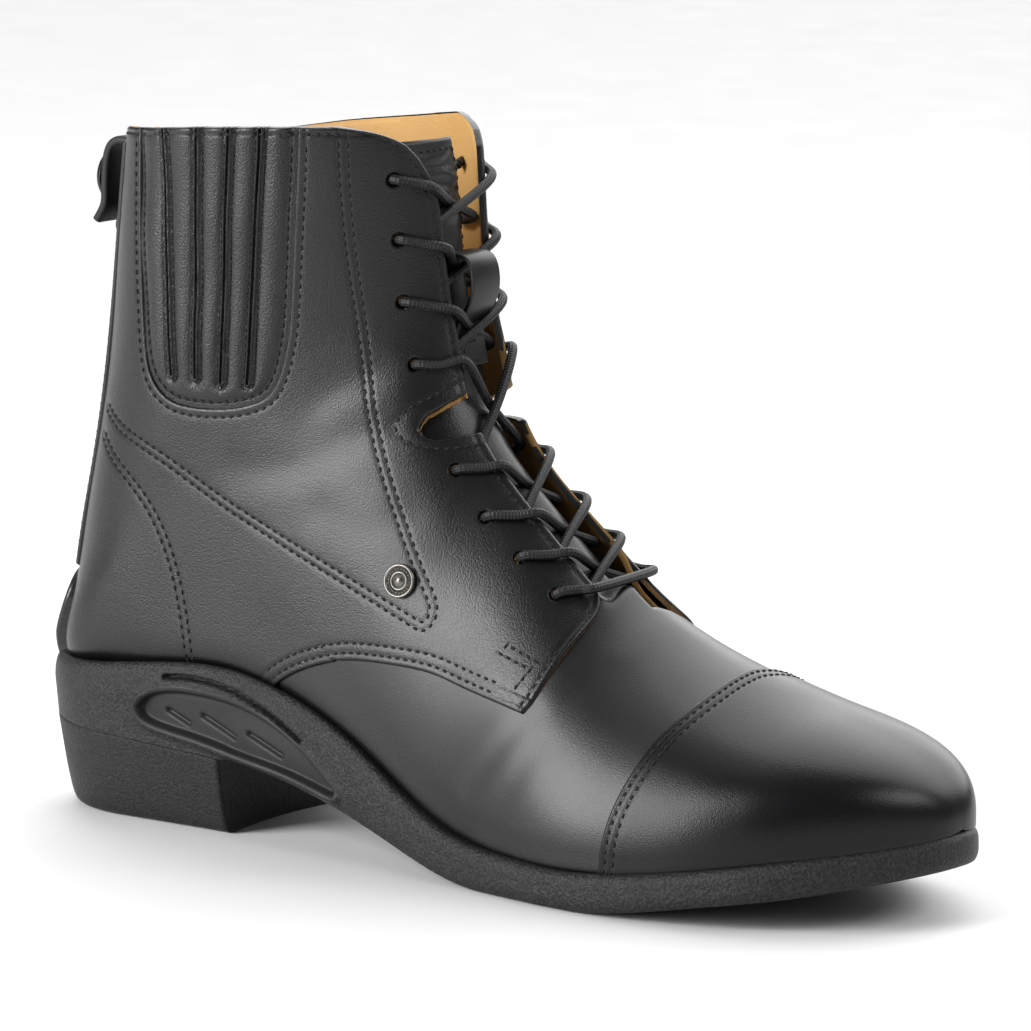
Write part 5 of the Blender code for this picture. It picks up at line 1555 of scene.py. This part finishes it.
def make_zip_edging(name, side):
    panel = Panel(np.linspace(EDGING_FIRST_ROW, COLLAR_ROW, 150),
                  np.sort(side * np.radians(np.linspace(*EDGING_DEGREES, 44))))
    points = panel.points()
    away = np.abs(points[:, 1])
    panel.measures["outer"] = ZIP_HALF - away
    panel.measures["inner"] = away - ZIP_GAP
    panel.measures["ends"] = np.minimum(points[:, 2] - ZIP_LOW, ZIP_HIGH - points[:, 2])
    for edge in ("outer", "inner", "ends"):
        panel.trim(edge)
        panel.grade(edge, *EDGE_LEVELS)
    grade_rows(panel, "outer", (ZIP_THREAD_AT,))
    measures = panel.measures
    lift = EDGING_LIFT - sum(edge_drop(measures[edge], EDGE_RADIUS) for edge in ("outer", "inner", "ends"))
    lift += EDGING_BEAD * groove(measures["inner"] - EDGING_BEAD_AT, EDGING_BEAD_WIDTH)
    lift -= sewn_drop(measures["outer"], (ZIP_THREAD_AT,))
    edging = panel_piece(name, panel, lift, EDGING_THICKNESS, black_leather)
    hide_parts("back_zip")


make_zip_edging("zip_edging_outer", OUTER)
make_zip_edging("zip_edging_inner", INNER)
tape_turns = math.pi + TAPE_HALF_ANGLE * np.linspace(-1, 1, TAPE_COLUMNS)
tape_rows, tape_angle = np.meshgrid(np.linspace(*TAPE_ROWS, TAPE_STEPS), tape_turns, indexing="ij")
tape_points = last_point(tape_rows, tape_angle) - TAPE_SINK * last_normal(tape_rows, tape_angle)
tape_cloth = plain_finish("black_zip_tape", (0.008, 0.008, 0.008), 0.8, 2600.0, 0.8)
tape_faces = grid_faces(TAPE_STEPS, TAPE_COLUMNS)
tape = mesh_piece("zip_tape", tape_points.reshape(-1, 3), tape_faces, tape_cloth)
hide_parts("back_zip")
back_rows = np.linspace(*TEETH_ROWS, 200)
back_points, back_out = last_point(back_rows, math.pi - 1e-4), last_normal(back_rows, math.pi - 0.02)
back_out[:, 1] = 0.0
back_out = unit(back_out)
inside = (back_points[:, 2] > TEETH_LOW) & (back_points[:, 2] < TEETH_HIGH)
back_points, back_out = back_points[inside], back_out[inside]
middle, ahead, normal = spaced(back_points, back_out, TOOTH_PITCH)
tooth = np.array([(x, y, z) for x in TOOTH_LONG for y in TOOTH_WIDE for z in TOOTH_HIGH])
tooth[:, 2] *= np.where(np.abs(tooth[:, 1]) > TOOTH_TIP, TOOTH_TIP_HEIGHT, 1.0)
shell = bmesh.new()
for point in tooth:
    shell.verts.new(point)
bmesh.ops.convex_hull(shell, input=shell.verts)
bmesh.ops.triangulate(shell, faces=shell.faces)
shell.verts.index_update()
tooth_points = np.array([v.co for v in shell.verts])
tooth_faces = np.array([[v.index for v in f.verts] for f in shell.faces])
shell.free()
sign = np.where(np.arange(len(middle)) % 2, 1.0, -1.0)[:, None]
all_teeth = scattered(tooth_points, tooth_faces, middle + TOOTH_LIFT * normal, ahead * sign, normal)
teeth = mesh_piece("zip_teeth", *all_teeth, zip_metal, smooth=False)
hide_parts("back_zip")
zip_paths = []
for side in (OUTER, INNER):
    rows = back_rows[inside][::4]
    angle = np.full(len(rows), 3.0)
    for _ in range(30):
        off = np.abs(last_point(rows, side * angle)[:, 1]) - (ZIP_HALF - ZIP_THREAD_AT)
        angle = np.clip(angle + off / 34.0, 2.0, 3.13)
    line = np.stack((rows, side * angle), 1)
    zip_paths += [last_point(*line.T) + EDGING_THREAD_LIFT * last_normal(*line.T), last_normal(*line.T)]
thread_pieces("zip_thread", zip_paths, STITCH_PITCH, black_thread)


# Zip tab: a strap of black leather sewn into the collar at the back. It folds down over the slider and
# closes with a domed black snap, and its lower end stands off the boot.
# The strap from the collar down: x, z
TAB_ROWS = ((17.6, 178.8), (14.0, 179.2), (10.6, 177.6), (8.9, 172.6), (8.5, 165.6), (8.1, 161.2),
            (5.6, 157.0))
TAB_HALF_WIDTH, TAB_THICKNESS, TAB_CORNER = 7.5, 2.4, 0.9
tab_leather = leather("dull_tab_leather", (0.0025, 0.0025, 0.003), (0.005, 0.005, 0.0056),
                      0.0004, 0.2, 0.5, 0.62, 0.0)
tab_line = drawn(TAB_ROWS, 12)
tab_path = np.column_stack((tab_line[:, 0], 0 * tab_line[:, 0], tab_line[:, 1]))
tab = strap("zip_tab_strap", tab_path, TAB_HALF_WIDTH, TAB_THICKNESS, tab_leather, corner=TAB_CORNER)
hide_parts("zip_tab")
SNAP_PLACE, SNAP_OUT = (6.9, 0.0, 168.6), (-1.0, 0.0, 0.0)
# Profile from the rim to the middle: radius, height
SNAP_PROFILE = ((7.0, 0.0), (7.0, 0.7), (6.7, 1.2), (6.0, 1.7), (4.4, 2.15), (4.2, 1.95), (3.9, 1.95),
                (3.7, 2.25), (2.4, 2.55), (1.0, 2.68), (0.02, 2.7))
snap_black = plain_finish("black_snap_enamel", (0.010, 0.010, 0.010), 0.24, 700.0, 0.08, 0.2)
snap_points, snap_faces = turned(SNAP_PROFILE, 48)
snap = mesh_piece("tab_snap_cap", set_on(snap_points, np.array(SNAP_PLACE), SNAP_OUT), snap_faces, snap_black)
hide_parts("tab_snap")


# Zip slider and pull: die-cast dark metal. The slider stays at the top of the zip, and the pull swings on a
# pin through its bail behind the tab.
SLIDER_ROUNDING, PULL_ROUNDING = 0.00035, 0.00025


def softened(name, node, body, width, material):
    """The cast part with its edges rounded."""
    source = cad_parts[node]
    piece = source.copy()
    piece.data = source.data.copy()
    for key in list(piece.keys()):
        del piece[key]
    piece.name = name
    piece.parent = None
    piece.hide_render = piece.hide_viewport = False
    bpy.context.scene.collection.objects.link(piece)
    piece.data.materials.clear()
    piece.data.materials.append(material)
    work = bmesh.new()
    work.from_mesh(piece.data)
    bmesh.ops.remove_doubles(work, verts=work.verts, dist=1e-6)
    bmesh.ops.dissolve_limit(work, angle_limit=0.02, verts=work.verts, edges=work.edges)
    bmesh.ops.recalc_face_normals(work, faces=work.faces)
    work.to_mesh(piece.data)
    work.free()
    bevel = piece.modifiers.new("rounded_edges", "BEVEL")
    bevel.width, bevel.segments, bevel.limit_method, bevel.angle_limit = width, 3, "ANGLE", 0.6
    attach(piece, body)
    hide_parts(node)
    return piece


softened("zip_slider_body", "zip_slider", "boot", SLIDER_ROUNDING, zip_metal)
softened("zip_pull_tab", "zip_pull", "zip_pull", PULL_ROUNDING, zip_metal)


# Studio: a plain pale floor of matt paint, three softboxes and one wide panel of sky light, and a camera
# with a long lens that looks a little down on the boot.
floor_mesh = bpy.data.meshes.new("pale_floor")
FLOOR = 6.0
floor_corners = [(-FLOOR, -FLOOR, 0), (FLOOR, -FLOOR, 0), (FLOOR, FLOOR, 0), (-FLOOR, FLOOR, 0)]
floor_mesh.from_pydata(floor_corners, [], [(0, 1, 2, 3)])
floor = bpy.data.objects.new("pale_floor", floor_mesh)
bpy.context.scene.collection.objects.link(floor)
floor_mesh.materials.append(plain_finish("pale_floor_paint", (0.73, 0.73, 0.73), 0.7, 30.0, 0.02))

world = bpy.data.worlds.new("studio_air")
world.use_nodes = True
world.node_tree.nodes["Background"].inputs["Color"].default_value = (1.0, 1.0, 1.0, 1)
world.node_tree.nodes["Background"].inputs["Strength"].default_value = 0.18
bpy.context.scene.world = world
bpy.context.scene.view_settings.view_transform = "Standard"

# Softboxes: name, degrees round from the outer side to the toe, degrees up, distance, width, height, power
SOFTBOXES = (
    ("side_softbox", -31.0, 20.0, 1.9, 0.95, 1.3, 58.0),
    ("toe_softbox", 100.0, 36.0, 1.7, 1.1, 0.6, 12.0),
    ("top_softbox", -75.0, 74.0, 1.6, 0.9, 0.7, 2.2),
)
SKY_TURN, SKY_RISE, SKY_STRENGTH, SKY_SPREAD = 195.0, 44.0, 3.65, 76.0
MIDDLE = Vector((0.10, 0.0, 0.08))


def toward(turn, rise):
    turn, rise = math.radians(turn), math.radians(rise)
    return Vector((math.sin(turn) * math.cos(rise), -math.cos(turn) * math.cos(rise), math.sin(rise)))


def hang(name, lamp, way, away):
    hung = bpy.data.objects.new(name, lamp)
    hung.location = MIDDLE + way * away
    hung.rotation_euler = (-way).to_track_quat("-Z", "Y").to_euler()
    bpy.context.scene.collection.objects.link(hung)


for name, turn, rise, away, width, height, power in SOFTBOXES:
    lamp = bpy.data.lights.new(name, "AREA")
    lamp.shape, lamp.size, lamp.size_y, lamp.energy = "RECTANGLE", width, height, power
    hang(name, lamp, toward(turn, rise), away)
sky = bpy.data.lights.new("sky_panel", "SUN")
sky.energy, sky.angle = SKY_STRENGTH, math.radians(SKY_SPREAD)
hang("sky_panel", sky, toward(SKY_TURN, SKY_RISE), 3.0)

CAMERA_TURN, CAMERA_RISE, CAMERA_ROLL = 35.57, 9.93, 0.29
CAMERA_AIM, CAMERA_AWAY, CAMERA_VIEW = (0.104, 0.0, 0.0894), 1.868, 8.24
back = toward(CAMERA_TURN, CAMERA_RISE)
turn, roll = math.radians(CAMERA_TURN), math.radians(CAMERA_ROLL)
level = Vector((math.cos(turn), math.sin(turn), 0.0))
rise = back.cross(level)
right = math.cos(roll) * level + math.sin(roll) * rise
up = math.cos(roll) * rise - math.sin(roll) * level
lens = bpy.data.cameras.new("photo_camera")
lens.sensor_width, lens.clip_end = 36.0, 40.0
lens.lens = lens.sensor_width / 2 / math.tan(math.radians(CAMERA_VIEW) / 2)
camera = bpy.data.objects.new("photo_camera", lens)
stand = Matrix.Translation(Vector(CAMERA_AIM) + CAMERA_AWAY * back)
camera.matrix_world = stand @ Matrix((right, up, back)).transposed().to_4x4()
bpy.context.scene.collection.objects.link(camera)
bpy.context.scene.camera = camera
